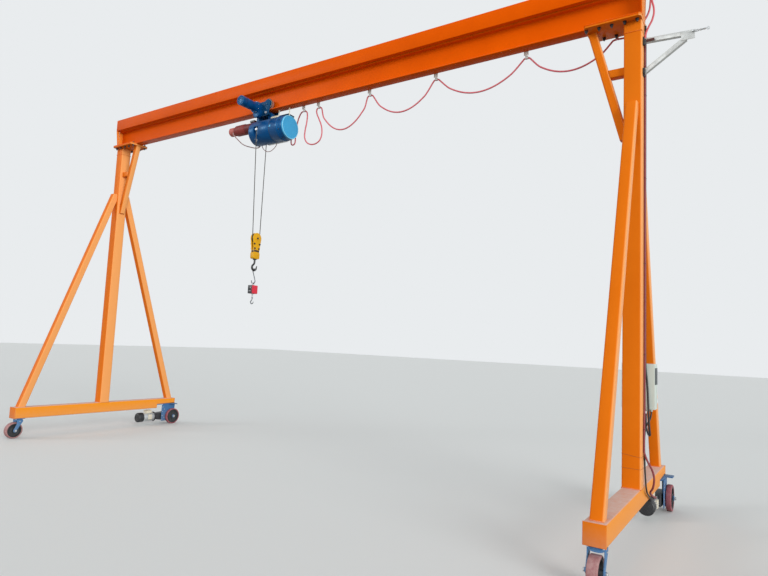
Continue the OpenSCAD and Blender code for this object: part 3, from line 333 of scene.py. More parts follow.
def sprayed_enamel(name, paint, tint, dust="#DAC2B8", dust_share=0.9, gloss=0.36, fade_and_painted_light=None,
                   gleam="#FFFFFF", sheen=0.2, skin=(0.12, 0.001, 320.0)):
    """Enamel sprayed over primer: soft gloss, a skin with the given strength, depth and scale of
    relief, broad tone changes, a few chips down to the primer, painted light as a paler colour on
    the side that faces +X, dust on what faces up, and a splash of soil near the floor"""
    material, place = new_finish(name)
    broad = add_node(material, "TexNoise", {"Vector": place, "Scale": 1.6, "Detail": 5.0, "Roughness": 0.62})
    tone = add_node(material, "MapRange", {0: broad, 1: 0.35, 2: 0.68, 3: 0.0, 4: 0.75})
    speck = add_node(material, "TexNoise", {"Vector": place, "Scale": 24.0, "Detail": 8.0, "Roughness": 0.7})
    chip = add_node(material, "MapRange", {0: speck, 1: 0.715, 2: 0.735, 3: 0.0, 4: 0.6})
    normal = add_node(material, "NewGeometry").outputs["Normal"]
    facing = add_node(material, "SeparateXYZ", {0: normal}).outputs
    # Painted light: the side that faces +X is mixed towards a paler colour, for the window light on it
    painted_lit_side = add_node(material, "MapRange", {0: facing[0], 1: 0.15, 2: 0.85, 3: 0.0, 4: 0.85})
    lying = add_node(material, "MapRange", {0: facing[2], 1: 0.5, 2: 0.95, 3: 0.0, 4: dust_share})
    height = add_node(material, "SeparateXYZ", {0: place}).outputs[2]
    splash = add_node(material, "MapRange", {0: height, 1: 0.46, 2: 0.12, 3: 0.0, 4: 0.35})
    settled = add_node(material, "Math", {0: lying, 1: splash}, operation="MAXIMUM")
    patchy = add_node(material, "MapRange", {0: speck, 1: 0.3, 2: 0.62, 3: 0.6, 4: 1.0})
    dusty = add_node(material, "Math", {0: settled, 1: patchy}, operation="MULTIPLY")
    colour = linear(paint)
    for mask, layer in ((tone, tint), (chip, "#4A3026"), (painted_lit_side, fade_and_painted_light)):
        if layer:
            mix = add_node(material, "Mix", {0: mask, 6: colour, 7: linear(layer)}, data_type="RGBA")
            colour = mix.outputs[2]
    dull = add_node(material, "MapRange", {0: dusty, 1: 0.0, 2: 0.6, 3: gloss, 4: 0.85})
    strength, depth, scale = skin
    peel = add_node(material, "TexNoise", {"Vector": place, "Scale": scale, "Detail": 2.0})
    relief = add_node(material, "Bump", {"Strength": strength, "Distance": depth, "Height": peel})
    shader = shade(material, dusty, colour, dust, dull, relief)
    shader.inputs["Specular IOR Level"].default_value = sheen
    shader.inputs["Specular Tint"].default_value = linear(gleam)
    return material


def dressed(node, material, edge, long_only=False):
    """A merged copy of a CAD node with its sharp edges eased, which stands for the node. On a
    welded tube only the edges longer than any of its cut ends are eased, which stay square."""
    piece = add_object("dressed_" + node, frame["nodes"][node].data.copy())
    only(piece)
    bpy.ops.object.mode_set(mode="EDIT")
    bpy.ops.mesh.select_all(action="SELECT")
    bpy.ops.mesh.remove_doubles(threshold=0.00002)
    bpy.ops.mesh.dissolve_limited(angle_limit=math.radians(0.6))
    bpy.ops.object.mode_set(mode="OBJECT")
    easing = piece.modifiers.new("easing", "BEVEL")
    easing.width = edge
    easing.segments = 3 if edge > 0.004 else 2
    easing.limit_method = "ANGLE"
    easing.angle_limit = sharp_angle
    if long_only:
        easing.limit_method = "WEIGHT"
        corners = piece.data.vertices
        weights = piece.data.attributes.new("bevel_weight_edge", "FLOAT", "EDGE")
        for edge_line in piece.data.edges:
            a, b = edge_line.vertices
            weights.data[edge_line.index].value = float((corners[a].co - corners[b].co).length > longest_cut)
    bpy.ops.object.modifier_apply(modifier="easing")
    bpy.ops.object.shade_smooth_by_angle(angle=sharp_angle)
    finish_piece(piece, material, body_of[node])
    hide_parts(node)
    return piece


# The paler colour of each orange on its side that faces +X is painted light
girder_orange = sprayed_enamel("orange_enamel_on_girder", "#DA5602", "#CE4E01", fade_and_painted_light="#E28A34",
                               gleam="#FF8838", sheen=0.06)
orange = sprayed_enamel("orange_enamel_on_legs", "#DC7014", "#D4680E", fade_and_painted_light="#F0A866",
                        gleam="#FFA860", sheen=0.08)
base_orange = sprayed_enamel("orange_enamel_on_base_beams", "#DA7202", "#D06802", fade_and_painted_light="#F0961C",
                             gleam="#FFA850", sheen=0.08)
for node in ("box_girder", "i_beam", "end_plates"):
    dressed(node, girder_orange, 0.003)
dressed("girder_plates", girder_orange, 0.002)
dressed("leg_head_plates", orange, 0.002)
dressed("base_end_caps", base_orange, 0.002)
for node in ("left_column", "right_column"):
    dressed(node, orange, 0.014, long_only=True)
for node in ("left_base_beam", "right_base_beam"):
    dressed(node, base_orange, 0.012, long_only=True)
for node in ("left_front_brace", "left_rear_brace", "right_front_brace", "right_rear_brace",
             "left_knee_brace", "right_knee_brace"):
    dressed(node, orange, 0.014, long_only=True)
dressed("knee_struts", orange, 0.007)

# Below the box each end plate runs on as a tapered wing to both sides of the I-beam. A wing has
# four inner corners, 0 to 3, and four outer ones, 4 to 7, and each ring is one of its faces.
wing_outline = ((0.070, 4.792), (0.086, 4.792), (0.1195, 5.064), (0.070, 5.064))
wing_rings = ((0, 1, 2, 3), (7, 6, 5, 4), (0, 4, 5, 1), (1, 5, 6, 2), (2, 6, 7, 3), (3, 7, 4, 0))
wing_corners, wing_faces = [], []
for end, side in ((-1, -1), (-1, 1), (1, -1), (1, 1)):
    wing_faces += [[len(wing_corners) + i for i in ring] for ring in wing_rings]
    for x in (4.188, 4.1995):
        wing_corners += [(end * x, side * y, z) for y, z in wing_outline]
wings_mesh = bpy.data.meshes.new("end_plate_wings")
wings_mesh.from_pydata(wing_corners, [], wing_faces)
wings = add_object("end_plate_wings", wings_mesh)
only(wings)
bpy.ops.object.mode_set(mode="EDIT")
bpy.ops.mesh.select_all(action="SELECT")
bpy.ops.mesh.normals_make_consistent(inside=False)
bpy.ops.mesh.bevel(offset=0.0015, segments=2)
bpy.ops.object.mode_set(mode="OBJECT")
finish_piece(wings, girder_orange, "frame")

# Weld beads
# Fillet welds run round every foot, head and end plate. They are painted over, and their ripples
# still show under the enamel.
weld_paint = sprayed_enamel("orange_enamel_on_weld", "#D45C04", "#BC4E02", gloss=0.4, fade_and_painted_light="#E09448",
                            gleam="#FFA860", sheen=0.08, skin=(0.7, 0.002, 170.0))
bead_r = 0.005
leg_x = 4.115
column_half, brace_half, knee_half = 0.079, 0.050, 0.040
base_top, plate_low, plate_top, web_top, box_low = 0.448, 4.748, 4.780, 5.058, 5.064


def join_all(pieces, name):
    """Joins pieces into one mesh"""
    only(pieces[0])
    for piece in pieces:
        piece.select_set(True)
    bpy.ops.object.join()
    pieces[0].name = name
    return pieces[0]


def flat_loop(axis, value, a0, a1, b0, b1):
    """The corners of a rectangle on the plane where one axis has a value"""
    corners = [(a0, b0), (a1, b0), (a1, b1), (a0, b1)]
    return [p[:axis] + (value,) + p[axis:] for p in corners]


beads = []
for x in (-leg_x, leg_x):
    inward = 1 if x < 0 else -1
    inner_face = x + inward * 0.080
    end_face = x - inward * 0.075
    for z in (base_top, 4.640, plate_low):
        beads.append(flat_loop(2, z, x - column_half, x + column_half, -column_half, column_half))
    for way in (-1, 1):
        beads.append(flat_loop(2, base_top, x - brace_half, x + brace_half, way * 1.2194, way * 1.325))
        beads.append(flat_loop(1, way * 0.080, x - brace_half, x + brace_half, 3.814, 3.936))
        cap_low = 0.360 if way > 0 else 0.290
        beads.append(flat_loop(1, way * 1.369, x - column_half, x + column_half, cap_low, 0.446))
    beads.append(flat_loop(2, plate_low, x + inward * 0.4246, x + inward * 0.3417, -knee_half, knee_half))
    beads.append(flat_loop(0, inner_face, -knee_half, knee_half, 3.620, 3.779))
    beads.append(flat_loop(0, inner_face, -knee_half, knee_half, 4.250, 4.330))
    beads.append(flat_loop(0, end_face, -0.117, 0.117, box_low, 5.232))
    beads.append(flat_loop(0, end_face, -0.063, 0.063, 4.782, web_top))
welds = [round_rod("bead", corners, bead_r, closed=True, round_steps=2) for corners in beads]
for y in (-0.066, 0.066):
    welds.append(round_rod("bead", [(-4.18, y, web_top), (4.18, y, web_top)], bead_r, round_steps=2))
finish_piece(join_all(welds, "weld_beads"), weld_paint, "frame")


# Bolted plates
# Black bolts with their washers and nuts hold the girder on each leg, five along each side. Two
# turns of thin wire are left on the right column, where its cables were once tied.
def zinc_steel(name, metal, rough=0.42):
    """Zinc-plated steel: bright and faintly cloudy, darker and duller in patches"""
    material, place = new_finish(name)
    cloud = add_node(material, "TexNoise", {"Vector": place, "Scale": 18.0, "Detail": 5.0})
    dark = [share * 0.72 for share in linear(metal)[:3]] + [1.0]
    gloss = add_node(material, "MapRange", {0: cloud, 1: 0.3, 2: 0.7, 3: rough - 0.1, 4: rough + 0.12})
    grain = add_node(material, "TexNoise", {"Vector": place, "Scale": 500.0, "Detail": 2.0})
    relief = add_node(material, "Bump", {"Strength": 0.1, "Distance": 0.0005, "Height": grain})
    shader = shade(material, cloud, metal, dark, gloss, relief)
    shader.inputs["Metallic"].default_value = 0.75
    return material


def black_iron(name, paint="#1B1D20", worn="#34373B", rough=0.5):
    """Cast or forged iron under thin black paint: rough skin, grey where it is rubbed"""
    material, place = new_finish(name)
    cloud = add_node(material, "TexNoise", {"Vector": place, "Scale": 12.0, "Detail": 6.0, "Roughness": 0.65})
    rubbed = add_node(material, "MapRange", {0: cloud, 1: 0.42, 2: 0.7, 3: 0.0, 4: 1.0})
    skin = add_node(material, "TexNoise", {"Vector": place, "Scale": 260.0, "Detail": 4.0})
    relief = add_node(material, "Bump", {"Strength": 0.35, "Distance": 0.0008, "Height": skin})
    shade(material, rubbed, paint, worn, rough, relief)
    return material


def hex_bolt(across, head, stub=0.0):
    """A bolt head on its washer, with a stub of thread past it, pointing up from the origin"""
    bpy.ops.mesh.primitive_cylinder_add(vertices=20, radius=across * 0.62, depth=head * 0.22,
                                        location=(0, 0, head * 0.11))
    parts = [bpy.context.object]
    bpy.ops.mesh.primitive_cylinder_add(vertices=6, radius=across * 0.577, depth=head,
                                        location=(0, 0, head * 0.72))
    hexagon = bpy.context.object
    corner = hexagon.modifiers.new("corner", "BEVEL")
    corner.width = head * 0.12
    bpy.ops.object.modifier_apply(modifier="corner")
    parts.append(hexagon)
    if stub:
        bpy.ops.mesh.primitive_cylinder_add(vertices=14, radius=across * 0.3, depth=stub,
                                            location=(0, 0, head * 1.2 + stub / 2))
        parts.append(bpy.context.object)
    for part in parts:
        only(part)
        bpy.ops.object.transform_apply(location=True)
    return join_all(parts, "bolt")


bright_zinc = zinc_steel("bright_zinc_plate", "#C9CCCE")
dark_bolt = black_iron("black_oxide_bolt", "#17181A", "#2C2E31", 0.38)


def row_of_bolts(name, places, across, head, body="frame", material=bright_zinc, stub=0.0):
    """Copies one bolt to each place, turned to its outward direction, as one mesh"""
    bolt = hex_bolt(across, head, stub)
    copies = []
    for place, outward in places:
        copy = add_object(name, bolt.data.copy())
        turn = Vector((0, 0, 1)).rotation_difference(Vector(outward)).to_matrix().to_4x4()
        copy.data.transform(Matrix.Translation(place) @ turn)
        copies.append(copy)
    bpy.data.objects.remove(bolt)
    row = join_all(copies, name)
    clean_mesh(row, 30)
    return finish_piece(row, material, body)


heads, nuts = [], []
for x in (3.695, 3.816, 3.932, 4.050, 4.160):
    for side in (-1, 1):
        for y in (-0.107, 0.107):
            heads.append(((side * x, y, plate_top), (0, 0, 1)))
            nuts.append(((side * x, y, plate_low), (0, 0, -1)))
row_of_bolts("girder_bolt_heads", heads, 0.026, 0.014, material=dark_bolt)
row_of_bolts("girder_bolt_nuts", nuts, 0.028, 0.016, material=dark_bolt, stub=0.012)

tie_wire = black_iron("rusty_tie_wire", "#8A4A22", "#A3561F", 0.6)
round_the_tube = ((-1, -0.86), (-0.86, -1), (0.86, -1), (1, -0.86), (1, 0.86), (0.86, 1),
                  (-0.86, 1), (-1, 0.86))
tie_rings = []
for z, slope, out in ((0.7325, -0.0105, 0.0815), (0.621, -0.001, 0.0812)):
    ring = [(leg_x + out * dx, out * dy, z + slope * dx) for dx, dy in round_the_tube]
    tie_rings.append(round_rod("tie_wire", ring, 0.0013, closed=True, round_steps=1))
finish_piece(join_all(tie_rings, "column_tie_wires"), tie_wire, "frame")

# Driven wheels
# A blue bracket under each rear end carries a worm gearbox with its side plate, a ribbed motor
# that lies along the beam, and a cast wheel with a dull red tread.
blue = sprayed_enamel("blue_enamel_on_steel", "#28669E", "#1E5484", dust="#8D9498", dust_share=0.35)
cast_black = black_iron("black_cast_iron")
dark_plastic = black_iron("moulded_black_cover", "#202225", "#2D2F32", 0.42)
aluminium = zinc_steel("ribbed_cast_aluminium", "#D2D5D6", 0.5)
cream = sprayed_enamel("cream_enamel", "#DDD6C0", "#CFC7B0", dust="#CFC7B8", gloss=0.45)


def polyurethane(name, tread, worn):
    """Cast polyurethane tread: dull red, greyed and scuffed where it rolls"""
    material, place = new_finish(name)
    scuff = add_node(material, "TexNoise", {"Vector": place, "Scale": 30.0, "Detail": 7.0, "Roughness": 0.7})
    greyed = add_node(material, "MapRange", {0: scuff, 1: 0.35, 2: 0.65, 3: 0.0, 4: 1.0})
    relief = add_node(material, "Bump", {"Strength": 0.3, "Distance": 0.001, "Height": scuff})
    shade(material, greyed, tread, worn, 0.6, relief)
    return material


def rounded_block(low, high, edge, segments):
    """A block between two corners with rounded edges"""
    low, high = Vector(low), Vector(high)
    bpy.ops.mesh.primitive_cube_add(size=1, location=(low + high) / 2, scale=high - low)
    bpy.ops.object.transform_apply(location=True, scale=True)
    block = bpy.context.object
    rounding = block.modifiers.new("rounding", "BEVEL")
    rounding.width = edge
    rounding.segments = segments
    bpy.ops.object.modifier_apply(modifier="rounding")
    return block


def rounded_slab(name, low, high, edge, material, body):
    """A named flat piece between two corners with smooth rounded edges and its finish"""
    slab = rounded_block(low, high, edge, 3)
    slab.name = name
    bpy.ops.object.shade_smooth_by_angle(angle=sharp_angle)
    return finish_piece(slab, material, body)


def on_circle(centre, radius, axis, count, first=0):
    """Evenly spaced places on a circle about the x or the y axis, from a first angle in degrees"""
    x, y, z = centre
    places = []
    for i in range(count):
        a = math.radians(first + 360 * i / count)
        across, up = radius * math.cos(a), radius * math.sin(a)
        places.append((x, y + across, z + up) if axis == "x" else (x + across, y, z + up))
    return places


tread_red = polyurethane("polyurethane_tread", "#8E3C48", "#A06468")
drive_y, drive_z = 1.300, 0.135
brackets = dressed("drive_brackets", blue, 0.002)
dressed("drive_gearboxes", cast_black, 0.004)
motors = dressed("drive_motors", aluminium, 0.0008)
second_finish(motors, cream, lambda centre, normal: centre.z > 0.200 and 0.827 < centre.y < 0.928)
dressed("drive_fan_covers", dark_plastic, 0.002)

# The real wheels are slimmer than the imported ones, so each is pressed towards its bracket, and
# the axle's end moves in with it
wheel_side, slimmer, axle_end, moved = 0.108, 0.75, 0.191, 0.018
for wheel in (
    dressed("left_drive_hub", cast_black, 0.0015), dressed("right_drive_hub", cast_black, 0.0015),
    dressed("left_drive_tyre", tread_red, 0.003), dressed("right_drive_tyre", tread_red, 0.003),
):
    inner = math.copysign(leg_x, wheel.data.vertices[0].co.x) + wheel_side
    for corner in wheel.data.vertices:
        if corner.co.x > inner:
            corner.co.x = inner + slimmer * (corner.co.x - inner)
for corner in brackets.data.vertices:
    if abs(abs(corner.co.x - axle_end) - leg_x) < 0.013 and abs(corner.co.y - drive_y) < 0.05:
        corner.co.x -= moved

gear_bolts, flange_bolts, axle_nuts, lids, fan_rings = [], [], [], [], []
for x in (-leg_x, leg_x):
    gear_bolts += [(place, (-1, 0, 0))
                   for place in on_circle((x - 0.070, drive_y, drive_z), 0.058, "x", 6, 30)]
    gear_bolts += [((x - 0.045, y, 0.346), (0, 0, -1)) for y in (1.045, 1.120, 1.340)]
    gear_bolts += [((x + 0.1036, y, z), (1, 0, 0)) for y, z in (
        (1.112, 0.078), (1.112, 0.150), (1.112, 0.222), (1.150, 0.114), (1.150, 0.262), (1.112, 0.300))]
    flange_bolts += [(place, (0, -1, 0)) for place in on_circle((x, 0.985, drive_z), 0.074, "y", 4, 45)]
    axle_nuts.append(((x + 0.1835, drive_y, drive_z), (1, 0, 0)))
    lids.append(rounded_block((x - 0.049, 0.8235, 0.246), (x + 0.049, 0.9315, 0.253), 0.003, 2))
    for r in (0.018, 0.030, 0.042, 0.054):
        circle = on_circle((x, 0.6745, drive_z), r, "y", 32)
        fan_rings.append(round_rod("fan_ring", circle, 0.0018, closed=True, round_steps=1))
    rounded_slab("drive_side_plate", (x + 0.0984, 1.092, 0.056), (x + 0.1036, 1.236, 0.338), 0.002,
                 blue, "frame")
    rounded_slab("motor_side_box", (x + 0.050, 0.852, 0.096), (x + 0.079, 0.928, 0.180), 0.006,
                 cream, "frame")
row_of_bolts("drive_axle_nuts", axle_nuts, 0.030, 0.010)
row_of_bolts("gearbox_bolts", gear_bolts, 0.012, 0.003)
row_of_bolts("motor_flange_bolts", flange_bolts, 0.010, 0.007)
finish_piece(join_all(lids, "terminal_box_lids"), cream, "frame")
finish_piece(join_all(fan_rings, "fan_cover_rings"), dark_plastic, "frame")

# Swivel castors
# Pressed blue forks, each with a rounded apron in front, turn on a ball race under the front
# ends. Each wheel has a dished black centre, a pinkish tread and bright axle nuts.
castor_blue = sprayed_enamel("bright_blue_enamel", "#2F76B0", "#25649A", dust="#9AA0A2", dust_share=0.3)
pale_tread = polyurethane("pale_polyurethane_tread", "#935F60", "#A98381")
axle_y, axle_z = -1.336, 0.115
apron_y, apron_z = -1.3232, 0.2580
dressed("castor_plates", castor_blue, 0.0015)
plate_bolts = []
for side, x in (("left", -leg_x), ("right", leg_x)):
    dressed(side + "_castor_fork", castor_blue, 0.0015)
    dressed(side + "_castor_hub", cast_black, 0.0015)
    dressed(side + "_castor_tyre", pale_tread, 0.003)
    for dx in (-0.055, 0.055):
        plate_bolts += [((x + dx, y, 0.280), (0, 0, -1)) for y in (-1.338, -1.228)]
    wheel_nuts = [((x + way * 0.0725, axle_y, axle_z), (way, 0, 0)) for way in (-1, 1)]
    row_of_bolts(side + "_castor_axle_nuts", wheel_nuts, 0.026, 0.009, side + "_castor")
    bpy.ops.mesh.primitive_cylinder_add(vertices=48, radius=1, depth=0.004, rotation=(math.pi / 2, 0, 0))
    apron = bpy.context.object
    apron.name = side + "_castor_apron"
    apron.scale = (0.056, 0.018, 1)
    apron.location = (x, apron_y, apron_z)
    bpy.ops.object.transform_apply(location=True, rotation=True, scale=True)
    bpy.ops.object.mode_set(mode="EDIT")
    bpy.ops.mesh.select_all(action="SELECT")
    bpy.ops.mesh.bisect(plane_co=(x, apron_y, apron_z), plane_no=(0, 0, 1), clear_outer=True, use_fill=True)
    bpy.ops.object.mode_set(mode="OBJECT")
    finish_piece(apron, castor_blue, side + "_castor")
    rivets = [((x + way * 0.064, -1.285, 0.245), (way, 0, 0)) for way in (-1, 1)]
    row_of_bolts(side + "_castor_fork_rivets", rivets, 0.012, 0.005, side + "_castor")
row_of_bolts("castor_plate_bolts", plate_bolts, 0.015, 0.006)

# Control cabinet
# A folded sheet-steel box, powder-coated light grey, on two straps behind the right column. Its
# door faces the rear, the cables enter through glands underneath, and plastic ties hold them to
# the column.
grey_coat = sprayed_enamel("light_grey_powder_coat", "#CBD6CF", "#BFCBC4", dust="#D3D6CF", dust_share=0.5,
                           gloss=0.45)
dark_grey = sprayed_enamel("dark_grey_powder_coat", "#4C5254", "#41474A", dust="#7B7A75", gloss=0.45)
dressed("control_cabinet", grey_coat, 0.002)
rounded_slab("cabinet_side_panel", (4.279, 0.108, 1.352), (4.284, 0.226, 1.502), 0.0015,
             dark_grey, "frame")
rounded_slab("cabinet_door_handle", (4.040, 0.262, 1.300), (4.058, 0.274, 1.370), 0.004,
             dark_plastic, "frame")
hinges = [round_rod("hinge", [(4.276, 0.262, z), (4.276, 0.262, z + 0.045)], 0.005) for z in (1.180, 1.440)]
finish_piece(join_all(hinges, "cabinet_hinges"), bright_zinc, "frame")
gland = [((4.150, 0.167, 1.109), (0, 0, -1))]
row_of_bolts("cabinet_gland_caps", gland, 0.022, 0.012, material=dark_plastic)
round_red = ((4.1955, 0.012), (4.2135, 0.016), (4.2152, 0.024), (4.2135, 0.032), (4.1955, 0.036))
round_both = ((4.1955, 0.032), (4.2135, 0.036), (4.2152, 0.044), (4.2152, 0.066), (4.2135, 0.074),
              (4.1955, 0.0775))
ties = []
for z in (0.96, 1.62, 2.45, 3.25, 4.05):
    bent = round_red if z < 1.0 else round_both
    ties.append(round_rod("tie", [(x, y, z) for x, y in bent], 0.0014, round_steps=1))
finish_piece(join_all(ties, "cable_ties"), dark_plastic, "frame")

# Arm for the supply wire
# Two rolled steel angles and a gusset, bolted to the right column with black pads and jaws. A
# shackle and a turnbuckle at the tip take the overhead supply wire.
galvanised = zinc_steel("galvanised_angle_steel", "#C4C6C4", 0.5)
old_primer = sprayed_enamel("red_brown_primer", "#5A3430", "#452723", gloss=0.6)
arm = dressed("cable_arm", galvanised, 0.001)
second_finish(arm, dark_plastic, lambda centre, normal: centre.x < 4.2062)
dressed("wire_tensioner", bright_zinc, 0.0006)
for name, x, z in (("upper_arm_jaw", 4.224, 4.535), ("lower_arm_jaw", 4.218, 4.256)):
    rounded_slab(name, (4.1965, -0.0405, z - 0.028), (x, -0.0325, z + 0.028), 0.003,
                 dark_plastic, "frame")
pad_bolts = [((4.203, y, z), (1, 0, 0)) for y in (-0.026, 0.028) for z in (4.582, 4.538, 4.272, 4.228)]
row_of_bolts("arm_pad_bolts", pad_bolts, 0.010, 0.006, material=dark_bolt)
rounded_slab("arm_packing_piece", (4.226, -0.0375, 4.532), (4.296, -0.0325, 4.558), 0.002,
             old_primer, "frame")

# Trolley
# Two shaped side plates on tie rods hang from four flanged wheels, bright where they run on the
# I-beam's lower flange. The travel motor sits across the girder, on a round gear housing.
dark_blue = sprayed_enamel("dark_blue_enamel", "#10456E", "#0D385A", dust="#7F898F", dust_share=0.3,
                           gloss=0.26, gleam="#70BCE0")
hoist_blue = sprayed_enamel("gloss_blue_enamel", "#06447C", "#053A6A", dust="#7E8A92", dust_share=0.35,
                            gloss=0.3, gleam="#58B8E8", sheen=0.5, skin=(0.03, 0.001, 320.0))
worn_steel = zinc_steel("worn_wheel_tread", "#C9C4BC", 0.35)
dressed("trolley_plates", dark_blue, 0.0015)

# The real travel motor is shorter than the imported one
travel_drive = dressed("trolley_drive", hoist_blue, 0.002)
shorter = 0.055
for corner in travel_drive.data.vertices:
    if corner.co.y < -0.400:
        corner.co.y += shorter

wheel_x = {"left": -0.850, "right": -0.630}
for end, way in (("front", -1), ("rear", 1)):
    for side, x in wheel_x.items():
        node = f"{end}_{side}_trolley_wheel"
        wheel = dressed(node, cast_black, 0.0012)
        second_finish(wheel, worn_steel, lambda centre, normal: abs(centre.y) < 0.069 and abs(normal.y) < 0.5)
        flange_edge = on_circle((x, way * 0.0785, 4.8615), 0.0705, "y", 48)
        rim = round_rod(node + "_rim", flange_edge, 0.0022, closed=True, round_steps=1)
        finish_piece(rim, worn_steel, body_of[node])

travel_x, travel_z, gear_face = -0.800, 4.820, -0.156
travel_bolts = on_circle((travel_x, gear_face - 0.001, travel_z), 0.0765, "y", 8, 20)
row_of_bolts("travel_gear_bolts", [(place, (0, -1, 0)) for place in travel_bolts], 0.009, 0.005, "trolley")
motor_rings = []
for back, r, count in ((0.262, 0.0672, 48), (0.306, 0.0672, 48), (0.3255, 0.016, 32), (0.3255, 0.028, 32),
                       (0.3255, 0.040, 32), (0.3255, 0.052, 32)):
    ring = on_circle((travel_x, gear_face - back + shorter, travel_z), r, "y", count)
    motor_rings.append(round_rod("motor_ring", ring, 0.0016, closed=True, round_steps=1))
finish_piece(join_all(motor_rings, "travel_motor_rings"), dark_blue, "trolley")
rod_ends = ((-0.850, 1), (-0.630, -1), (-0.630, 1))
rod_nuts = [((x, way * 0.108, 4.730), (0, way, 0)) for x, way in rod_ends]
row_of_bolts("tie_rod_nuts", rod_nuts, 0.030, 0.012, "trolley")

# Wire-rope hoist
# The drum turns inside a rolled steel housing with a seam round it. A light blue cover closes the
# gear end, and the red lifting motor stands out at the other. Two falls of greased rope go down.
light_blue = sprayed_enamel("light_blue_enamel", "#3E9FCF", "#3391C2", dust="#9DBBC9", dust_share=0.25,
                            gloss=0.24)
# A pale blue ring at the cover's edge is a painted highlight
painted_rim_highlight = sprayed_enamel("pale_blue_painted_highlight", "#8CD2EE", "#7CC4E2", dust="#B4D0DC", dust_share=0.2,
                          gloss=0.24)
motor_red = sprayed_enamel("dull_red_enamel", "#8A3B38", "#76302E", dust="#B08A84", dust_share=0.4,
                           gloss=0.45)
dull_red = sprayed_enamel("dark_red_enamel", "#6E2B2B", "#5A2224", dust="#8A6460", dust_share=0.3,
                          gloss=0.45)
pale_red = sprayed_enamel("faded_red_enamel", "#B9675F", "#A85850", dust="#C09A92", dust_share=0.5,
                          gloss=0.5)
hoist_z = 4.490
motor_z = hoist_z + 0.114
dressed("hoist_housing", hoist_blue, 0.002)
end_cover = dressed("hoist_end_cover", light_blue, 0.002)
second_finish(end_cover, hoist_blue, lambda centre, normal: centre.x < -0.284)
motor = dressed("hoist_motor", motor_red, 0.002)
second_finish(motor, dull_red, lambda centre, normal: centre.x > -1.070)
second_finish(motor, pale_red, lambda centre, normal: centre.x < -1.318)

cover_bolts = [(place, (1, 0, 0)) for place in on_circle((-0.328, 0, hoist_z), 0.1665, "x", 8, 22)]
ring_bolts = [(place, (-1, 0, 0)) for place in on_circle((-0.900, 0, hoist_z), 0.145, "x", 6, 10)]
row_of_bolts("gear_cover_bolts", cover_bolts, 0.012, 0.006, "trolley", dark_bolt)
row_of_bolts("housing_end_bolts", ring_bolts, 0.014, 0.007, "trolley")
motor_fins = []
for x, y, z in on_circle((-1.110, 0, motor_z), 0.074, "x", 20):
    motor_fins.append(round_rod("fin", [(x, y, z), (x - 0.152, y, z)], 0.003, round_steps=1))
finish_piece(join_all(motor_fins, "lifting_motor_fins"), motor_red, "trolley")
rounded_slab("lifting_terminal_box", (-0.990, -0.055, motor_z + 0.060), (-0.903, 0.045, motor_z + 0.088),
             0.005, dark_plastic, "trolley")
for name, x, r, thick, material, slot in (
    # The pale rim is a painted highlight on the cover's edge
    ("cover_rim", -0.2555, 0.1545, 0.0045, painted_rim_highlight, "light_blue"),
    # The dark ring is painted shade in the groove of the housing's seam
    ("seam_groove_painted_shade", -0.5055, 0.1672, 0.0024, dark_bolt, "black_iron"),
):
    ring = round_rod(name, on_circle((x, 0, hoist_z), r, "x", 64), thick, closed=True)
    finish_piece(ring, material, "trolley")
rounded_slab("seam_plate", (-0.498, -0.1700, hoist_z - 0.012), (-0.468, -0.1655, hoist_z + 0.016),
             0.002, light_blue, "trolley")
# A thin bright zinc strip runs along the underside of the housing
rounded_slab("bright_strip_under_housing", (-0.700, 0.036, hoist_z - 0.1700), (-0.352, 0.066, hoist_z - 0.1610),
             0.002, bright_zinc, "trolley")
rounded_slab("rope_guide_clip", (-0.748, -0.178, hoist_z - 0.020), (-0.712, -0.160, hoist_z + 0.012),
             0.005, bright_zinc, "trolley")
guide_hook = smooth_route([(x, y, hoist_z - drop) for x, y, drop in (
    (-0.808, -0.112, 0.124), (-0.790, -0.118, 0.114), (-0.766, -0.120, 0.120),
    (-0.756, -0.120, 0.142), (-0.768, -0.116, 0.160), (-0.786, -0.108, 0.158))], 4)
finish_piece(round_rod("rope_guide_hook", guide_hook, 0.004, round_steps=1), bright_zinc, "trolley")

# Two posts and a junction box stand on the housing, under the trolley
posts = []
for x, low in ((-0.480, 0.160), (-0.290, 0.150)):
    for r, bottom, top in ((0.006, low, 0.262), (0.010, 0.262, 0.280)):
        posts.append(round_rod("post", [(x, 0, hoist_z + bottom), (x, 0, hoist_z + top)], r))
finish_piece(join_all(posts, "housing_posts"), cream, "trolley")
rounded_slab("cream_junction_box", (-0.590, -0.050, hoist_z + 0.158), (-0.462, 0.040, hoist_z + 0.190),
             0.008, cream, "trolley")

# A cable from the motor and one of the limit switch hang under the housing
grey_sheath = cable_sheath("grey_pink_sheath", "#8E6F70", "#A58C8A")
for name, r, knots in (
    ("lifting_motor_cable", 0.007, [
        (-1.312, -0.064, 4.566), (-1.300, -0.074, 4.538), (-1.232, -0.048, 4.460), (-1.126, -0.020, 4.370),
        (-1.000, 0.026, 4.326), (-0.930, 0.048, 4.314), (-0.890, 0.054, 4.320), (-0.868, 0.055, 4.3325)]),
    ("limit_switch_cable", 0.005, [
        (-0.830, 0.058, 4.333), (-0.822, 0.060, 4.308), (-0.770, 0.060, 4.256), (-0.684, 0.060, 4.230),
        (-0.600, 0.060, 4.262), (-0.556, 0.060, 4.304), (-0.548, 0.060, 4.330)]),
):
    route = smooth_route(knots, 5)
    wire = finish_piece(round_rod(name, route, r), grey_sheath, "trolley")

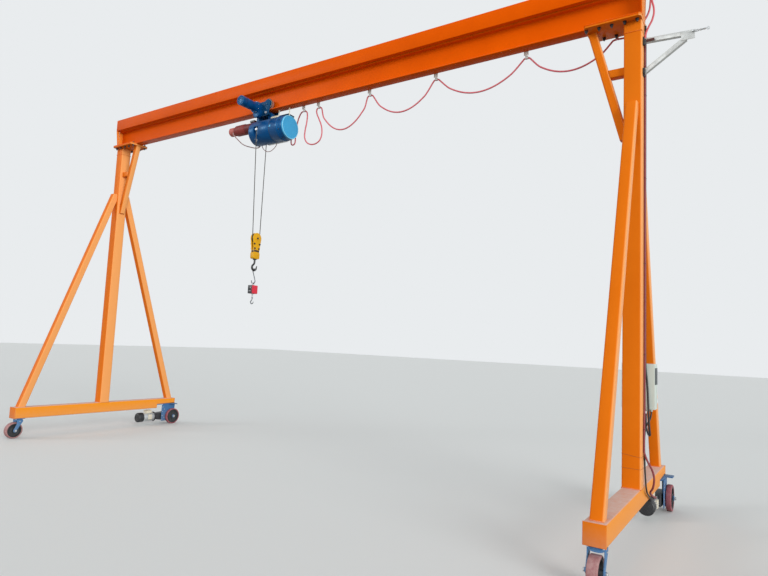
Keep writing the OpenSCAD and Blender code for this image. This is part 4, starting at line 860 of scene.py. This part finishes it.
# Stranded steel rope, dark with grease, with its strands laid aslant
rope_steel, rope_place = new_finish("greased_wire_rope")
lay_turn = add_node(rope_steel, "Mapping", {0: rope_place, 2: (0, 0, 0), 3: (160.0, 160.0, 95.0)})
strands = add_node(rope_steel, "TexWave", {"Vector": lay_turn, "Scale": 0.35, "Distortion": 0.6},
                   bands_direction="DIAGONAL").outputs[1]
rope_relief = add_node(rope_steel, "Bump", {"Strength": 0.8, "Distance": 0.001, "Height": strands})
rope_shader = shade(rope_steel, strands, "#1E1C1A", "#56534E", 0.45, rope_relief)
rope_shader.inputs["Metallic"].default_value = 0.5
hook_x, sheave_z, rope_top = -0.772, 2.985, 4.529
for name, top, low in (
    ("front_rope_fall", (hook_x + 0.037, -0.162, rope_top), (hook_x, -0.065, sheave_z + 0.001)),
    ("rear_rope_fall", (hook_x, 0.080, rope_top), (hook_x, 0.065, sheave_z + 0.001)),
):
    steps = [Vector(top).lerp(Vector(low), i / 24) for i in range(25)]
    fall = round_rod(name, steps, 0.0055)
    fall.data.materials.append(rope_steel)
    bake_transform(fall)
    if name == "front_rope_fall":
        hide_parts("hoist_ropes")


# Hook block
# Two yellow cheek plates hold the grooved sheave between them, and a dark slab between the
# cheeks and the crosshead is painted shade for the gap there. The forged black hook turns in the
# crosshead below, thick at its bottom and thin at its tip.
def bent_hook(name, bend, radius, round_steps):
    """A round bar along places, each with the share of the radius that the bar has there"""
    shares = [bend[0][1]]
    for (_, before), (_, after) in zip(bend, bend[1:]):
        shares += [(before + after) / 2, after]
    route = smooth_route([place for place, _ in bend], 2)
    return round_rod(name, route, radius, shares, round_steps=round_steps)


yellow = sprayed_enamel("yellow_enamel", "#DDA814", "#C98F0C", dust="#6E5A3C", dust_share=0.3, gloss=0.38)
forged = black_iron("forged_black_hook", "#141516", "#2A2A2B", 0.4)
painted_gap_shade = black_iron("dark_painted_gap_shade", "#3A2716", "#55402A", 0.5)
dressed("hook_block", yellow, 0.002)
dressed("hook_sheave", cast_black, 0.0008)
# A dark slab is painted shade in the gap between the cheeks and the crosshead
rounded_slab("block_gap_painted_shade", (hook_x - 0.0285, -0.050, 2.794), (hook_x + 0.0285, 0.050, 2.822), 0.003,
             painted_gap_shade, "block")
cheek_bolts = []
for way in (-1, 1):
    cheek_bolts.append(((hook_x + way * 0.033, 0.0, sheave_z), (way, 0, 0)))
    for y, z in ((-0.048, 2.905), (0.048, 2.905), (-0.038, 2.842), (0.038, 2.842)):
        cheek_bolts.append(((hook_x + way * 0.027, y, z), (way, 0, 0)))
row_of_bolts("cheek_bolts", cheek_bolts, 0.021, 0.010, "block", dark_bolt)
rounded_slab("lifting_hook_collar", (hook_x - 0.020, -0.020, 2.686), (hook_x + 0.020, 0.020, 2.6995), 0.005,
             forged, "hook")

hook_z, hook_r, thickest = 2.581, 0.040, 275
hook_bend = [((hook_x, y, z), 0.86) for y, z in (
    (0.0, 2.700), (0.0, hook_z + hook_r + 0.026), (-0.007, hook_z + hook_r + 0.009))]
for i in range(25):
    turn = 125 + 222 * i / 24
    share = 0.86 + 0.14 * min(1, i / 9) if turn < thickest else 1.0 - 0.38 * (turn - thickest) / 72
    a = math.radians(turn)
    hook_bend.append(((hook_x, hook_r * math.cos(a), hook_z + hook_r * math.sin(a)), share))
hook_bend.append(((hook_x, hook_r + 0.002, hook_z + 0.008), 0.55))
hook_bend.append(((hook_x, hook_r + 0.008, hook_z + 0.024), 0.33))
lifting_hook = bent_hook("forged_lifting_hook", hook_bend, 0.015, 5)
finish_piece(lifting_hook, forged, "hook")
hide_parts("lifting_hook")
shank_nut = round_rod("hook_shank_nut", [(hook_x, 0, 2.700), (hook_x, 0, 2.752)], 0.0145)
finish_piece(shank_nut, forged, "hook")

# Crane scale
# A weighing scale in a red cast shell hangs from a bent steel S-hook, with its dark display to
# the front and a small swivel hook below.
steel_wire = zinc_steel("worn_bare_steel", "#6E7276", 0.4)
scale_red = sprayed_enamel("glossy_red_shell", "#D8384A", "#C52C3E", dust="#B58C8C", dust_share=0.3,
                           gloss=0.25)
dressed("s_hook", steel_wire, 0.0004)
scale = dressed("crane_scale", scale_red, 0.002)
second_finish(scale, bright_zinc, lambda centre, normal: centre.z < 2.2160 or centre.z > 2.3340)
second_finish(scale, dark_plastic, lambda centre, normal: normal.y < -0.6 and 2.22 < centre.z < 2.33)

# Clear acrylic over an unlit display: nearly black, glossy and faintly smeared
glass, glass_place = new_finish("dark_display_window")
smear = add_node(glass, "TexNoise", {"Vector": glass_place, "Scale": 60.0, "Detail": 4.0})
shade(glass, smear, "#0E1012", "#24282B", 0.12)
rounded_slab("scale_display", (hook_x - 0.026, -0.0545, 2.268), (hook_x + 0.026, -0.052, 2.302), 0.001,
             glass, "scale")
rounded_slab("scale_display_frame", (hook_x - 0.029, -0.0535, 2.240), (hook_x + 0.029, -0.0525, 2.308),
             0.0005, dark_plastic, "scale")
buttons = []
for x in (hook_x - 0.016, hook_x, hook_x + 0.016):
    buttons.append(round_rod("button", [(x, -0.0530, 2.252), (x, -0.0560, 2.252)], 0.004))
finish_piece(join_all(buttons, "scale_buttons"), bright_zinc, "scale")

low_z, low_r = 2.1035, 0.025
low_bend = [((hook_x, 0, 2.158), 0.72), ((hook_x, 0, low_z + low_r + 0.015), 0.74),
            ((hook_x - 0.004, 0, low_z + low_r + 0.004), 0.8)]
for i in range(17):
    a = math.radians(130 + 200 * i / 16)
    share = 1.0 - 0.035 * max(0, i - 10)
    low_bend.append(((hook_x + low_r * math.cos(a), 0, low_z + low_r * math.sin(a)), share))
low_bend.append(((hook_x + low_r + 0.002, 0, low_z + 0.006), 0.58))
low_hook = bent_hook("small_swivel_hook", low_bend, 0.007, 4)
finish_piece(low_hook, steel_wire, "low_hook")
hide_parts("scale_hook")
collar = round_rod("swivel_collar", [(hook_x, 0, 2.1525), (hook_x, 0, 2.1660)], 0.011)
finish_piece(collar, steel_wire, "low_hook")

# Festoon carriers
# Small white-plated hangers roll on the lower flange, each with a saddle that grips the cable.
# Plain clamps hold it where it leaves the girder.
white_plate = zinc_steel("white_zinc_plate", "#E6E6E2", 0.5)
white_plate.node_tree.nodes["Principled BSDF"].inputs["Metallic"].default_value = 0.15
for i, x in enumerate(carrier_x, 1):
    dressed(f"cable_carrier_{i}", white_plate, 0.0008)
    roller_nuts = [((x + dx, 0.081, 4.8065), (0, 1, 0)) for dx in (-0.016, 0.016)]
    row_of_bolts(f"carrier_{i}_axle_nuts", roller_nuts, 0.009, 0.004, f"carrier_{i}")
dressed("cable_end_clamps", white_plate, 0.0008)
